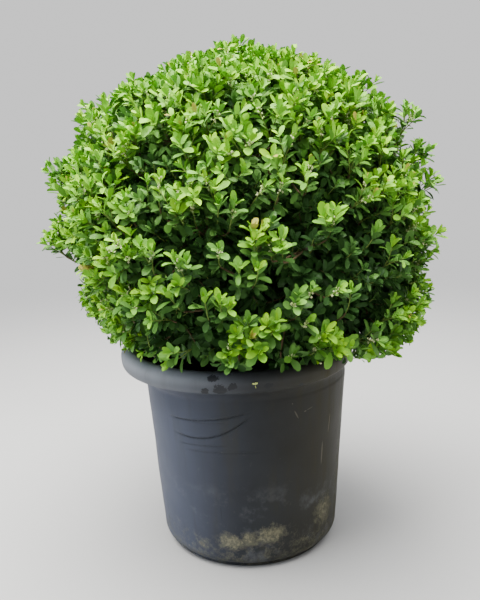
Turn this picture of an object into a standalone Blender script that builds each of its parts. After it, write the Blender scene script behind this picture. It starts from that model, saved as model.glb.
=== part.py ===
"""A clipped holly ball in its nursery pot, as separate solids (metres, +Z up).

The pot is turned, with a rolled rim that stands a little off centre. Compost fills it,
and a short flared stem stands on the compost. Six boughs leave the stem, and each ends
at a mass of foliage: one on top and five round the sides, which together make the
clipped ball. A mass is a core with shoots that branch from one
stem inside it and end in rosettes of leaves. The origin is the centre of the flat
underside of the pot.
"""

import math
import random

import bmesh
import bpy
from mathutils import Matrix, Vector

OBJECT_NAME = "potted_holly_ball"
SEED = 20
CLEAR = 0.0003  # between solids that carry each other

# Pot: a turned nursery container with a rolled rim
POT_HEIGHT = 0.302
RIM_RADIUS = 0.170
RIM_BAND = 0.026  # height of the rolled rim
WALL_TOP_RADIUS = 0.1489
WALL_TOP_Z = 0.258
WALL_FOOT_RADIUS = 0.1331
WALL_FOOT_Z = 0.021
FOOT_RADIUS = 0.1207
POT_WALL = 0.0025
POT_FLOOR = 0.004
RIM_SHIFT = -0.0136  # the soft rim stands this far off the axis, along X
POT_STEPS = 40
DRAIN_HOLES = 8
DRAIN_RADIUS = 0.007
DRAIN_CIRCLE = 0.096

# Compost and stem
SOIL_TOP = 0.266
SOIL_FALL = 0.006  # how far the compost falls from the middle to the wall
STEM_TOP = 0.385
STEM_FOOT_RADIUS = 0.026
STEM_WAIST_RADIUS = 0.0155
STEM_HEAD_RADIUS = 0.0115
STEM_LEAN = (0.007, -0.004)
STEM_BEND = 0.003
FLARE_HEIGHT = 0.030
FLARE_LOBES = 5
FLARE_DEPTH = 0.22  # depth of the hollows between the root buttresses, as a share

# The clipped ball
BALL_CENTRE = Vector((0.0, 0.0, 0.453))
BALL_RADIUS = 0.270  # to the clipped surface that the rosettes reach
CORE_OUTER = 0.226
CORE_INNER = 0.128
CORE_GAP = 0.0022  # half the gap between neighbouring cores, at their inner face
CORE_STEP = math.radians(15)
SPACE_MARGIN = 0.0012  # leaves and twigs keep this far inside their mass's space
POT_MARGIN = 0.004
# name, masses in the ring, polar angle from the zenith where it starts and ends
RINGS = (("top", 1, 0, 50), ("side", 5, 50, 131))
# Swellings and hollows of the clipped surface: azimuth, elevation, width, height
LUMPS = (
    (-10, 35, 13, 0.014),
    (190, 39, 13, 0.010),
    (-23, -21, 15, 0.010),
    (203, -18, 27, -0.034),
    (75, 10, 20, 0.008),
    (130, -12, 18, -0.008),
    (40, 55, 16, -0.006),
    (255, 70, 12, 0.005),
)

# Boughs
BOUGH_TIP_RADIUS = 0.0042
BOUGH_ROOT_RADIUS = {"top": 0.0090, "side": 0.0072}
BOUGH_ROOT_Z = {"top": STEM_TOP, "side": 0.340}
BOUGH_STAGGER = 0.016
BOUGH_END = 0.118  # distance of a bough's tip from the middle of the ball
BOUGH_SAG = 0.010
BOUGH_POINTS = 6

# Shoots, twigs and leaves, larger than life because the solids have far fewer
SHOOTS = 166
MASS_STEM_RADIUS = 0.0036
MASS_STEM_LENGTH = 0.045
TWIG_ROOT_RADIUS = 0.0030
TWIG_TIP_RADIUS = 0.0015
TWIG_SIDES = 3
LEAF_LENGTH = 0.054
LEAF_WIDTH = 0.56  # as a share of its length
LEAF_THICKNESS = 0.035
LEAF_WIDEST = 0.60
LEAF_BLUNT = 0.30  # width of the blunt tip, as a share of the leaf's width
ROSETTE_LEAVES = 5
ROSETTE_TILT = math.radians(66)
# A leaf that leaves its space is tried more upright, or swung round: share of its lean, swing
WAYS_TRIED = ((1.0, 0.0), (0.75, 0.3), (0.75, -0.3), (0.5, 0.5), (0.5, -0.5), (0.3, 0.0))
EDGE_ROOM = 0.007  # a shoot's tip stays this far inside its mass's space
GOLDEN_TURN = math.pi * (3 - math.sqrt(5))

COLOURS = {
    "pot": ((0.055, 0.058, 0.062), 0.55),
    "compost": ((0.022, 0.015, 0.010), 0.95),
    "bark": ((0.110, 0.085, 0.060), 0.85),
    "foliage": ((0.115, 0.235, 0.030), 0.45),
}


def clear_scene():
    for old in list(bpy.data.objects):
        bpy.data.objects.remove(old, do_unlink=True)


def new_collection(name):
    made = bpy.data.collections.new(name)
    bpy.context.scene.collection.children.link(made)
    return made


def make_material(name):
    colour, roughness = COLOURS[name]
    made = bpy.data.materials.new(name)
    made.use_nodes = True
    shader = made.node_tree.nodes["Principled BSDF"]
    shader.inputs["Base Color"].default_value = (*colour, 1.0)
    shader.inputs["Roughness"].default_value = roughness
    shader.inputs["Metallic"].default_value = 0.0
    return made


def add_object(name, mesh, collection, material=None):
    made = bpy.data.objects.new(name, mesh)
    collection.objects.link(made)
    if material:
        mesh.materials.clear()
        mesh.materials.append(material)
    return made


def evaluated_mesh(source):
    """The object's mesh with its modifiers, as new data."""
    bpy.context.view_layer.update()
    graph = bpy.context.evaluated_depsgraph_get()
    return bpy.data.meshes.new_from_object(source.evaluated_get(graph))


def bake_mesh(source, material):
    """Replace an object by a plain welded mesh of the same name."""
    mesh = evaluated_mesh(source)
    cage = bmesh.new()
    cage.from_mesh(mesh)
    bmesh.ops.remove_doubles(cage, verts=cage.verts, dist=1e-6)
    bmesh.ops.recalc_face_normals(cage, faces=cage.faces)
    cage.to_mesh(mesh)
    cage.free()
    name = source.name
    place = source.matrix_world.copy()
    home = source.users_collection[0]
    bpy.data.objects.remove(source, do_unlink=True)
    made = add_object(name, mesh, home, material)
    made.matrix_world = place
    return made


def smoothstep(value, low, high):
    share = min(1.0, max(0.0, (value - low) / (high - low)))
    return share * share * (3 - 2 * share)


def polar_direction(azimuth, elevation):
    level = math.cos(elevation)
    return Vector((level * math.cos(azimuth), level * math.sin(azimuth), math.sin(elevation)))


# Turned pieces -------------------------------------------------------------------------


def wall_radius(height):
    share = (height - WALL_FOOT_Z) / (WALL_TOP_Z - WALL_FOOT_Z)
    return WALL_FOOT_RADIUS + (WALL_TOP_RADIUS - WALL_FOOT_RADIUS) * share


def rim_shift(height):
    """How far the pot's axis stands off at this height."""
    return RIM_SHIFT * smoothstep(height, WALL_TOP_Z - 0.004, POT_HEIGHT - RIM_BAND + 0.004)


def inner_wall():
    """Radius and height up the inside, shared by the pot and its compost."""
    heights = (POT_FLOOR + 0.012, WALL_TOP_Z - 0.004, SOIL_TOP - SOIL_FALL)
    return [(wall_radius(z) - POT_WALL, z) for z in heights]


def rolled_rim():
    """The rim's outside, from its inner top edge over the roll to its sharp lower edge."""
    roll = RIM_BAND / 2
    points = [(RIM_RADIUS - roll - 0.0085, POT_HEIGHT - 0.002)]
    for degrees in (110, 82, 54, 27, 0):
        turn = math.radians(degrees)
        across = RIM_RADIUS - roll + roll * math.cos(turn)
        points.append((across, POT_HEIGHT - roll + roll * math.sin(turn)))
    low = POT_HEIGHT - RIM_BAND
    points.append((RIM_RADIUS - 0.0005, low + 0.0065))
    points.append((RIM_RADIUS - 0.0020, low + 0.0005))
    return points


def turned(name, profile, collection, material, cut=None):
    """A profile at +X that runs down its outer side, turned about Z and then shifted."""
    mesh = bpy.data.meshes.new(name)
    cage = bmesh.new()
    corners = [cage.verts.new((radius, 0.0, height)) for radius, height in profile]
    for first, second in zip(corners, corners[1:]):
        cage.edges.new((first, second))
    cage.to_mesh(mesh)
    cage.free()
    made = add_object(name, mesh, collection)
    screw = made.modifiers.new("turn", "SCREW")
    screw.steps = POT_STEPS
    screw.render_steps = POT_STEPS
    screw.use_merge_vertices = True
    screw.merge_threshold = 0.00001
    if cut:
        drill = made.modifiers.new("drain", "BOOLEAN")
        drill.operand_type = "COLLECTION"
        drill.collection = cut
        drill.operation = "DIFFERENCE"
    made = bake_mesh(made, material)
    for corner in made.data.vertices:
        corner.co.x += rim_shift(corner.co.z)
    made.data.shade_smooth()
    made.data.set_sharp_from_angle(angle=math.radians(35))
    return made


def drain_cutters(collection):
    for number in range(DRAIN_HOLES):
        turn = 2 * math.pi * (number + 0.5) / DRAIN_HOLES
        spot = (DRAIN_CIRCLE * math.cos(turn), DRAIN_CIRCLE * math.sin(turn), POT_FLOOR / 2)
        bpy.ops.mesh.primitive_cylinder_add(
            vertices=12, radius=DRAIN_RADIUS, depth=POT_FLOOR * 3, location=spot
        )
        drill = bpy.context.object
        drill.name = f"drain_cutter_{number + 1}"
        drill.hide_render = True
        drill.display_type = "WIRE"
        for home in list(drill.users_collection):
            home.objects.unlink(drill)
        collection.objects.link(drill)


def make_pot(collection, cutters, material):
    drain_cutters(cutters)
    under_rim = POT_HEIGHT - RIM_BAND - 0.002
    inside = [(0.0, POT_FLOOR), (FOOT_RADIUS - 0.004, POT_FLOOR)]
    inside += inner_wall()
    inside.append((WALL_TOP_RADIUS - 0.0012, POT_HEIGHT - 0.012))
    outside = rolled_rim()
    outside += [
        (RIM_RADIUS - 0.0100, under_rim),
        (WALL_TOP_RADIUS + 0.0025, WALL_TOP_Z + 0.006),
        (WALL_TOP_RADIUS, WALL_TOP_Z),
        (WALL_FOOT_RADIUS, WALL_FOOT_Z),
        (WALL_FOOT_RADIUS - 0.0016, 0.0145),
        (WALL_FOOT_RADIUS - 0.0050, 0.0100),
        (FOOT_RADIUS + 0.0030, 0.0080),
        (FOOT_RADIUS + 0.0006, 0.0055),
        (FOOT_RADIUS, 0.0),
        (0.0, 0.0),
    ]
    return turned("pot", inside + outside, collection, material, cutters)


def make_soil(collection, material):
    floor = POT_FLOOR + CLEAR
    side = [(radius - CLEAR * 1.3, height) for radius, height in reversed(inner_wall())]
    side[0] = (side[0][0] - 0.001, side[0][1])
    profile = [
        (0.0, SOIL_TOP),
        (0.040, SOIL_TOP),
        (0.090, SOIL_TOP - SOIL_FALL / 2),
        *side,
        (FOOT_RADIUS - 0.0045, floor),
        (0.0, floor),
    ]
    return turned("soil", profile, collection, material)


# Stem and boughs -----------------------------------------------------------------------


def limb_curve(name, points, radii, collection, resolution):
    """A tapering limb: a bevelled curve through points, with closed ends."""
    data = bpy.data.curves.new(name, "CURVE")
    data.dimensions = "3D"
    data.bevel_depth = 1.0
    data.bevel_resolution = resolution
    data.use_fill_caps = True
    line = data.splines.new("POLY")
    line.points.add(len(points) - 1)
    for corner, point, radius in zip(line.points, points, radii):
        corner.co = (*point, 1.0)
        corner.radius = radius
    return add_object(name, data, collection)


def stem_axis(height):
    share = (height - SOIL_TOP) / (STEM_TOP - SOIL_TOP)
    lean = share * share
    bend = STEM_BEND * math.sin(math.pi * share) ** 2
    return Vector((STEM_LEAN[0] * lean + bend, STEM_LEAN[1] * lean - bend, height))


def stem_radius(height):
    share = (height - SOIL_TOP) / (STEM_TOP - SOIL_TOP)
    taper = STEM_WAIST_RADIUS + (STEM_HEAD_RADIUS - STEM_WAIST_RADIUS) * share
    flare = math.exp(-(height - SOIL_TOP) / (FLARE_HEIGHT * 0.4))
    return taper + (STEM_FOOT_RADIUS - STEM_WAIST_RADIUS) * flare


def stem_solid(name, collection, material, swell=0.0):
    steps = 12
    foot = SOIL_TOP + CLEAR
    length = STEM_TOP + swell - foot
    heights = [foot + length * (step / steps) ** 1.4 for step in range(steps + 1)]
    points = [stem_axis(height) for height in heights]
    radii = [stem_radius(height) + swell for height in heights]
    made = bake_mesh(limb_curve(name, points, radii, collection, 4), material)
    for corner in made.data.vertices:
        if corner.co.z < foot + CLEAR:
            corner.co.z = foot  # the flat cut
        axis = stem_axis(corner.co.z)
        away = corner.co - axis
        turn = math.atan2(away.y, away.x)
        fade = math.exp(-(corner.co.z - foot) / (FLARE_HEIGHT * 0.5))
        pinch = FLARE_DEPTH * fade * (0.5 - 0.5 * math.cos(FLARE_LOBES * turn))
        corner.co.x -= away.x * pinch
        corner.co.y -= away.y * pinch
    return made


def bough_points(root, tip, ring):
    """A bough's centre line: out of the stem, then bending up to its mass."""
    rise = (tip - root).length * 0.5
    outward = Vector((tip.x - root.x, tip.y - root.y, 0.0))
    start = (outward.normalized() * 0.8 + Vector((0, 0, 0.6))).normalized()
    if ring == "top":
        start = Vector((0, 0, 1))
    points = []
    for step in range(BOUGH_POINTS):
        share = step / (BOUGH_POINTS - 1)
        pull = root + start * rise
        point = root * (1 - share) ** 2 + pull * 2 * share * (1 - share) + tip * share**2
        point.z -= BOUGH_SAG * math.sin(math.pi * share) * (ring == "side")
        points.append(point)
    return points


def make_bough(mass, collection, cutter, material):
    ring = mass["ring"]
    root_z = BOUGH_ROOT_Z[ring] + BOUGH_STAGGER * mass["rank"]
    root = stem_axis(min(root_z, STEM_TOP - 0.004))
    tip = BALL_CENTRE + mass["axis"] * BOUGH_END
    points = bough_points(root, tip, ring)
    first = BOUGH_ROOT_RADIUS[ring]
    last = BOUGH_TIP_RADIUS
    radii = [first + (last - first) * step / (BOUGH_POINTS - 1) for step in range(BOUGH_POINTS)]
    made = limb_curve(f"bough_{mass['name']}", points, radii, collection, 1)
    made = bake_mesh(made, material)
    cut = made.modifiers.new("seat", "BOOLEAN")
    cut.object = cutter
    cut.operation = "DIFFERENCE"
    made = bake_mesh(made, material)
    heading = (points[-1] - points[-2]).normalized()
    return made, points[-1] + heading * CLEAR, heading


# The ball's masses ---------------------------------------------------------------------


def surface_radius(direction):
    """Distance from the middle of the ball to its clipped surface, this way."""
    radius = BALL_RADIUS
    for azimuth, elevation, width, height in LUMPS:
        middle = polar_direction(math.radians(azimuth), math.radians(elevation))
        away = direction.angle(middle) / math.radians(width)
        radius += height * math.exp(-away * away)
    return radius


def plan_masses():
    """Name, ring, space and axis of each mass of the ball."""
    masses = []
    for ring, count, start, end in RINGS:
        width = 2 * math.pi / count
        offset = width / 3
        for number in range(count):
            middle = offset + width * number
            polar = math.radians((start + end) / 2 if count > 1 else 0)
            masses.append(
                {
                    "name": ring if count == 1 else f"{ring}_{number + 1}",
                    "ring": ring,
                    "rank": number % 2,
                    "azimuth": middle,
                    "half": width / 2 if count > 1 else None,
                    "start": math.radians(start),
                    "end": math.radians(end),
                    "axis": polar_direction(middle, math.pi / 2 - polar),
                }
            )
    return masses


def room_inside(mass, point):
    """How far a point lies inside the mass's own space; negative outside it."""
    away = point - BALL_CENTRE
    reach = away.length
    polar = away.angle(Vector((0, 0, 1)))
    room = reach * math.sin(min(math.pi / 2, max(-math.pi / 2, mass["end"] - polar)))
    if mass["half"]:
        room = min(room, reach * math.sin(min(math.pi / 2, polar - mass["start"])))
        turn = math.atan2(away.y, away.x) - mass["azimuth"]
        turn = (turn + math.pi) % (2 * math.pi) - math.pi
        level = math.hypot(away.x, away.y)
        room = min(room, level * math.sin(mass["half"] - abs(turn)))
    return room


def clear_of_pot(point):
    level = math.hypot(point.x - RIM_SHIFT, point.y)
    over_rim = level > RIM_RADIUS + POT_MARGIN or point.z > POT_HEIGHT + POT_MARGIN
    return over_rim and point.z > WALL_TOP_Z - 0.03


def fits(mass, points):
    return all(room_inside(mass, point) > SPACE_MARGIN and clear_of_pot(point) for point in points)


def core_solid(mass, collection, material):
    """A block of the ball's shell: its section turned through the mass's share."""
    inset = CORE_GAP / CORE_INNER
    start = mass["start"] + inset if mass["half"] else 0.0
    end = mass["end"] - inset
    arcs = max(3, round((end - start) / CORE_STEP))
    turns = [start + (end - start) * step / arcs for step in range(arcs + 1)]
    outer = [(CORE_OUTER * math.sin(turn), CORE_OUTER * math.cos(turn)) for turn in turns]
    inner = [(CORE_INNER * math.sin(turn), CORE_INNER * math.cos(turn)) for turn in turns]
    section = outer + inner[::-1]
    name = f"foliage_{mass['name']}"
    mesh = bpy.data.meshes.new(name)
    cage = bmesh.new()
    corners = [cage.verts.new((x, 0.0, z)) for x, z in section]
    edges = [cage.edges.new(pair) for pair in zip(corners, corners[1:])]
    if mass["half"]:
        edges.append(cage.edges.new((corners[-1], corners[0])))
        span = 2 * (mass["half"] - inset * 1.2)
    else:
        span = 2 * math.pi
    bmesh.ops.spin(
        cage,
        geom=corners + edges,
        axis=(0, 0, 1),
        cent=(0, 0, 0),
        angle=span,
        steps=max(4, round(span / (CORE_STEP * 1.25))),
        use_merge=False,
    )
    bmesh.ops.remove_doubles(cage, verts=cage.verts, dist=1e-6)
    bmesh.ops.holes_fill(cage, edges=[edge for edge in cage.edges if edge.is_boundary])
    bmesh.ops.recalc_face_normals(cage, faces=cage.faces)
    first = mass["azimuth"] - span / 2
    place = Matrix.Translation(BALL_CENTRE) @ Matrix.Rotation(first, 4, "Z")
    cage.transform(place)
    cage.to_mesh(mesh)
    cage.free()
    return add_object(name, mesh, collection, material)


def prism(points, radii):
    """A closed three-sided twig along points."""
    cage = bmesh.new()
    rings = []
    side = (points[-1] - points[0]).orthogonal().normalized()
    for number, (point, radius) in enumerate(zip(points, radii)):
        before = points[max(0, number - 1)]
        after = points[min(len(points) - 1, number + 1)]
        heading = (after - before).normalized()
        across = (side - heading * side.dot(heading)).normalized()
        up = heading.cross(across)
        ring = []
        for corner in range(TWIG_SIDES):
            turn = 2 * math.pi * corner / TWIG_SIDES
            offset = (across * math.cos(turn) + up * math.sin(turn)) * radius
            ring.append(cage.verts.new(point + offset))
        rings.append(ring)
    for low, high in zip(rings, rings[1:]):
        for corner in range(TWIG_SIDES):
            other = (corner + 1) % TWIG_SIDES
            cage.faces.new((low[corner], low[other], high[other], high[corner]))
    cage.faces.new(rings[0][::-1])
    cage.faces.new(rings[-1])
    return cage


def leaf_corners(root, heading, face, length):
    """Outline of one leaf from its root round, then the crown of its upper face."""
    across = heading.cross(face).normalized() * length * LEAF_WIDTH / 2
    middle = root + heading * length * LEAF_WIDEST
    tip = root + heading * length
    return (
        root,
        middle + across,
        tip + across * LEAF_BLUNT,
        tip - across * LEAF_BLUNT,
        middle - across,
        middle + face * length * LEAF_THICKNESS,
    )


def leaf_cage(corners):
    cage = bmesh.new()
    *outline, crown = [cage.verts.new(corner) for corner in corners]
    for first, second in zip(outline, outline[1:] + outline[:1]):
        cage.faces.new((first, second, crown))
    cage.faces.new(outline[::-1])
    bmesh.ops.recalc_face_normals(cage, faces=cage.faces)
    return cage


def link_cage(cage, name, collection):
    mesh = bpy.data.meshes.new(name)
    cage.to_mesh(mesh)
    cage.free()
    return add_object(name, mesh, collection)


def shoot_targets(chance):
    """Shoot tips, evenly spread over the clipped surface by the golden turn."""
    targets = []
    for number in range(SHOOTS):
        height = 1 - 2 * (number + 0.5) / SHOOTS
        turn = GOLDEN_TURN * number + chance.uniform(-0.10, 0.10)
        direction = polar_direction(turn, math.asin(height))
        depth = chance.choice((0.0, 0.0, -0.010, 0.006))
        targets.append((direction, surface_radius(direction) + depth))
    return targets


def settle(mass, direction, reach):
    """A shoot's tip, drawn from the border of its mass's space towards the middle."""
    tip = BALL_CENTRE + direction * reach
    while room_inside(mass, tip) < EDGE_ROOM:
        direction = direction.lerp(mass["axis"], 0.02).normalized()
        tip = BALL_CENTRE + direction * reach
    return tip


def rosette(mass, tip, heading, chance):
    """Corners of the leaves round a shoot's tip, each one inside the mass's space."""
    leaves = []
    side = heading.orthogonal().normalized()
    over = heading.cross(side)
    spin = chance.uniform(0, 2 * math.pi)
    for number in range(ROSETTE_LEAVES):
        turn = spin + 2 * math.pi * number / ROSETTE_LEAVES + chance.uniform(-0.2, 0.2)
        length = LEAF_LENGTH * chance.uniform(0.85, 1.05)
        root = tip - heading * chance.uniform(0.002, 0.008)
        lean = ROSETTE_TILT * chance.uniform(0.85, 1.0)
        for lean_share, swing in WAYS_TRIED:
            tilt = lean * lean_share
            outward = side * math.cos(turn + swing) + over * math.sin(turn + swing)
            way = (heading * math.cos(tilt) + outward * math.sin(tilt)).normalized()
            face = (heading * math.sin(tilt) - outward * math.cos(tilt)).normalized()
            corners = leaf_corners(root, way, face, length)
            if fits(mass, corners[1:]):
                leaves.append(corners)
                break
    return leaves


def grow_mass(mass, start, heading, targets, chance, collection, material):
    """Fuse a core, the mass's stem, its twigs and its leaves into one solid."""
    made = core_solid(mass, collection, material)
    parts = new_collection(f"parts_{mass['name']}")
    top = start + heading * MASS_STEM_LENGTH
    radii = (MASS_STEM_RADIUS, MASS_STEM_RADIUS * 0.8)
    link_cage(prism([start, top], radii), "mass_stem", parts)
    count = 0
    for direction, reach in targets:
        tip = settle(mass, direction, reach - LEAF_LENGTH * 0.50)
        if not clear_of_pot(tip):
            continue
        direction = (tip - BALL_CENTRE).normalized()
        root = start.lerp(top, chance.uniform(0.55, 0.95))
        middle = root.lerp(tip, 0.6) + direction * 0.012
        heading_out = (tip - middle).normalized()
        radii = (TWIG_ROOT_RADIUS, TWIG_ROOT_RADIUS * 0.75, TWIG_TIP_RADIUS)
        link_cage(prism([root, middle, tip], radii), "twig", parts)
        for corners in rosette(mass, tip, heading_out, chance):
            link_cage(leaf_cage(corners), "leaf", parts)
            count += 1
    fuse = made.modifiers.new("fuse", "BOOLEAN")
    fuse.operand_type = "COLLECTION"
    fuse.collection = parts
    fuse.operation = "UNION"
    fuse.solver = "MANIFOLD"
    made = bake_mesh(made, material)
    keep_largest_body(made.data)
    for part in list(parts.objects):
        bpy.data.objects.remove(part, do_unlink=True)
    bpy.data.collections.remove(parts)
    return made, count


def keep_largest_body(mesh):
    """Drop loose scraps and fill hollows that fusing sealed."""
    cage = bmesh.new()
    cage.from_mesh(mesh)
    bmesh.ops.dissolve_degenerate(cage, edges=cage.edges, dist=2e-6)
    left = set(cage.faces)
    bodies = []
    while left:
        front = [left.pop()]
        body = set(front)
        while front:
            for edge in front.pop().edges:
                near = [face for face in edge.link_faces if face not in body]
                body.update(near)
                front.extend(near)
        left -= body
        bodies.append(body)
    bodies.sort(key=len)
    scraps = [face for body in bodies[:-1] for face in body]
    bmesh.ops.delete(cage, geom=scraps, context="FACES")
    cage.to_mesh(mesh)
    cage.free()


def build():
    clear_scene()
    parts = new_collection(OBJECT_NAME)
    cutters = new_collection("cutters")
    seats = new_collection("seats")
    materials = {name: make_material(name) for name in COLOURS}
    chance = random.Random(SEED)

    make_pot(parts, cutters, materials["pot"])
    make_soil(parts, materials["compost"])
    stem_solid("stem", parts, materials["bark"])
    seat = stem_solid("stem_cutter", seats, materials["bark"], CLEAR)
    seat.hide_render = True
    seat.display_type = "WIRE"

    targets = shoot_targets(chance)
    masses = plan_masses()
    leaves = 0
    for mass in masses:
        _, start, heading = make_bough(mass, parts, seat, materials["bark"])
        own = [item for item in targets if room_inside(mass, BALL_CENTRE + item[0]) > 0]
        _, count = grow_mass(mass, start, heading, own, chance, parts, materials["foliage"])
        leaves += count
    print(len(masses), "masses,", leaves, "leaves")


build()
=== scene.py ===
import math
import random
from functools import reduce

import bpy
import numpy as np
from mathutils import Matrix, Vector


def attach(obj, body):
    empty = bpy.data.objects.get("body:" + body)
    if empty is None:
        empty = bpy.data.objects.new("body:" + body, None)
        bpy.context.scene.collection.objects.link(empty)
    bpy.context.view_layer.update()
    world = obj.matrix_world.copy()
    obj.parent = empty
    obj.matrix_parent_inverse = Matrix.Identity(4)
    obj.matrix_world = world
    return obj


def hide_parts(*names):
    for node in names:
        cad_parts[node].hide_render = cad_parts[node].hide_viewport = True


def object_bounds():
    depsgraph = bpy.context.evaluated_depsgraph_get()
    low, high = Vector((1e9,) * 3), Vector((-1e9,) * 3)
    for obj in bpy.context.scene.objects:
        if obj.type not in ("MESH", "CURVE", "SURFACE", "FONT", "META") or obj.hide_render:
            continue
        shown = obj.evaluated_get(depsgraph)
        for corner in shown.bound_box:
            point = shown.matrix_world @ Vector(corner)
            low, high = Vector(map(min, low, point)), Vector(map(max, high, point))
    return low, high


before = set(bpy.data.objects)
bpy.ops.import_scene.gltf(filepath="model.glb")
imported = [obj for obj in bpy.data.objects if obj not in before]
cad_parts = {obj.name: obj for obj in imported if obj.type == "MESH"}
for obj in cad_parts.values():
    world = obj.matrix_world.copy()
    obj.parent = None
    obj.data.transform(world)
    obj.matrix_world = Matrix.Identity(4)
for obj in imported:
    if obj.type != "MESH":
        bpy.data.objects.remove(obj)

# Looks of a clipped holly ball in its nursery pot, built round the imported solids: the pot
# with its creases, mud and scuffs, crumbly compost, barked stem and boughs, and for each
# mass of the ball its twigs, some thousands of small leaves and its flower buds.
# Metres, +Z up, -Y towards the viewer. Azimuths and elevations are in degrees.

CAD_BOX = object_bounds()
SEED = 20
CLEAR = 0.0003  # between pieces that would touch
UP = np.array((0.0, 0.0, 1.0))
dice = np.random.default_rng(SEED)

# Pot
POT_HEIGHT = 0.302
RIM_RADIUS = 0.170
RIM_BAND = 0.026
WALL_TOP_RADIUS = 0.1489
WALL_TOP_Z = 0.258
WALL_FOOT_RADIUS = 0.1331
WALL_FOOT_Z = 0.021
FOOT_RADIUS = 0.1207
FOOT_BEND = (0.0110, 0.0130)  # width and height of the bend from the wall to the foot
POT_WALL = 0.0025
POT_FLOOR = 0.004
RIM_SHIFT = -0.0136
DRAIN_HOLES = 8
DRAIN_RADIUS = 0.007
DRAIN_CIRCLE = 0.096
# Down the rim's band: inwards from the rim, and up from the band's lower edge
BAND_OUTLINE = ((0.0002, 0.0095), (0.0006, 0.0060), (0.0012, 0.0030), (0.0019, 0.0012),
                (0.0028, 0.0003), (0.0042, 0.0002), (0.0070, -0.0004), (0.0110, -0.0030))
# From the band to the wall: outwards and up from the wall's top
NECK_OUTLINE = ((0.0050, 0.0095), (0.0020, 0.0045), (0.0005, 0.0015))
# Round the foot's edge: outwards from the foot, and height
FOOT_OUTLINE = ((0.0006, 0.0070), (0.0004, 0.0040), (0.0, 0.0008), (-0.0010, 0.0), (-0.0120, 0.0))
CREASED_DOWN_TO = 0.172  # the wall's rows lie close together above this height
CREASED_FROM, CREASED_TO = -141, -80  # and its columns between these azimuths
# Creases and mould lines pressed into the wall: azimuth and height along each, width, depth
CREASES = (
    (((-140, 0.2243), (-122, 0.2262), (-112, 0.2286), (-99, 0.2358), (-86, 0.2445)),
     0.0014, 0.0017),
    (((-136, 0.2036), (-119, 0.2007), (-106.6, 0.2066), (-96, 0.2222), (-86, 0.2430)),
     0.0015, 0.0020),
    (((-133, 0.1876), (-118, 0.1900), (-100, 0.1935)), 0.0012, 0.0009),
    (((-130, 0.1797), (-110, 0.1822), (-80, 0.1848)), 0.0012, 0.0008),
    (((-128, 0.2270), (-112, 0.2250), (-100, 0.2300)), 0.0011, 0.0006),
)
CREASE_FADES = ((0.0, 0.22), (0.86, 1.0))  # as shares of its length, at both ends
CREASE_SWELL = (4, 0.45)  # width and height of the swelling over it, to its own
FULL_SHADE_CREASE = 0.0014  # a crease this deep gets the full painted shade
WALL_WOBBLE = (0.0007, 0.24)  # height and length of the waves in the whole pot
WALL_DENTS = (0.00022, 0.05)  # and in its wall
RIM_SWAY = (0.0006, 2.2)  # and in its rim, the length as a share of the radius
# Marks on the pot: azimuth, height, half width, half height, tilt, and for mud its weight
MUD = (
    (-102, 0.045, 0.034, 0.020, -6, 1.0), (-91, 0.050, 0.026, 0.018, 4, 0.9),
    (-79, 0.055, 0.036, 0.022, 12, 1.0), (-121, 0.036, 0.022, 0.016, 0, 0.75),
    (-39, 0.064, 0.034, 0.036, 35, 0.85), (-56, 0.034, 0.040, 0.014, 10, 0.6),
    (-20, 0.115, 0.020, 0.080, 0, 0.55), (60, 0.050, 0.045, 0.018, 5, 0.9),
    (150, 0.044, 0.050, 0.016, -8, 0.9),
)
SMUDGES = (
    (-103.5, 0.2800, 0.008, 0.007, 20), (-97, 0.2830, 0.013, 0.010, -15),
    (-91.5, 0.2870, 0.009, 0.007, 30), (-100, 0.2970, 0.012, 0.005, 0),
    (-76, 0.2850, 0.009, 0.006, 10), (-60, 0.2780, 0.006, 0.004, 0),
    (40, 0.286, 0.014, 0.007, 0), (130, 0.290, 0.016, 0.006, 10),
)
SCUFFS = (
    (-63.5, 0.2310, 0.0080, 0.0011, -62), (-58, 0.2330, 0.0022, 0.0012, 10),
    (-55, 0.2350, 0.0060, 0.0006, 14), (-66, 0.2480, 0.0010, 0.0010, 0),
    (-44, 0.1600, 0.0200, 0.0016, 88), (-38, 0.2000, 0.0160, 0.0013, 84),
    (20, 0.1700, 0.0200, 0.0009, 30), (165, 0.1300, 0.0260, 0.0009, -20),
)
SCAR = (-107.3, 0.091, 0.0007, 0.012)  # a mould line, drawn as a dark line of painted shade
MARK_DEPTH = 0.05  # marks reach this far through the wall
# Where the looks change over the pot, from and to: across for the painted light on the left
# side and the browner right, and heights for the band, the rolled edge, the haze and the splashes
PAINTED_LIGHT_SIDE = (-0.17, 0.02)
BROWNER_SIDE = (-0.01, 0.13)
BAND_START = (0.268, 0.279)
ROLL_START = (0.282, 0.296)
HAZE_END = (0.09, 0.15)
SPLASH_END = (0.01, 0.085)

# Colours
PLASTIC = ((0.0085, 0.0095, 0.011), (0.0135, 0.0155, 0.0185))
# Painted light: the wall's left side and the band are laid lighter, and the rolled edge gets a
# painted highlight
PAINTED_LIGHT_WALL = (0.068, 0.079, 0.119)
PAINTED_LIGHT_BAND = (0.128, 0.136, 0.147)
PAINTED_HIGHLIGHT_ROLL = (0.250, 0.265, 0.290)
BROWN_FILM = (0.030, 0.026, 0.0095)
PALE_HAZE = (0.135, 0.142, 0.155)
DUST = (0.15, 0.145, 0.125)
# painted shade in the creases and along the mould line
CREASE_SHADE = (0.010, 0.010, 0.011)
THIN_MUD = (0.140, 0.134, 0.090)
THICK_MUD = (0.215, 0.200, 0.120)
DAMP = (0.013, 0.014, 0.016)
SCUFFED = (0.19, 0.165, 0.125)
EARTH = ((0.012, 0.008, 0.005), (0.050, 0.032, 0.019))
FIBRE = (0.130, 0.090, 0.055)
BARK = ((0.050, 0.040, 0.030), (0.180, 0.150, 0.115))
LICHEN = (0.155, 0.170, 0.110)
PETAL = ((0.36, 0.44, 0.09), (0.55, 0.60, 0.20))
BLACK = (0.0, 0.0, 0.0)

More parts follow.
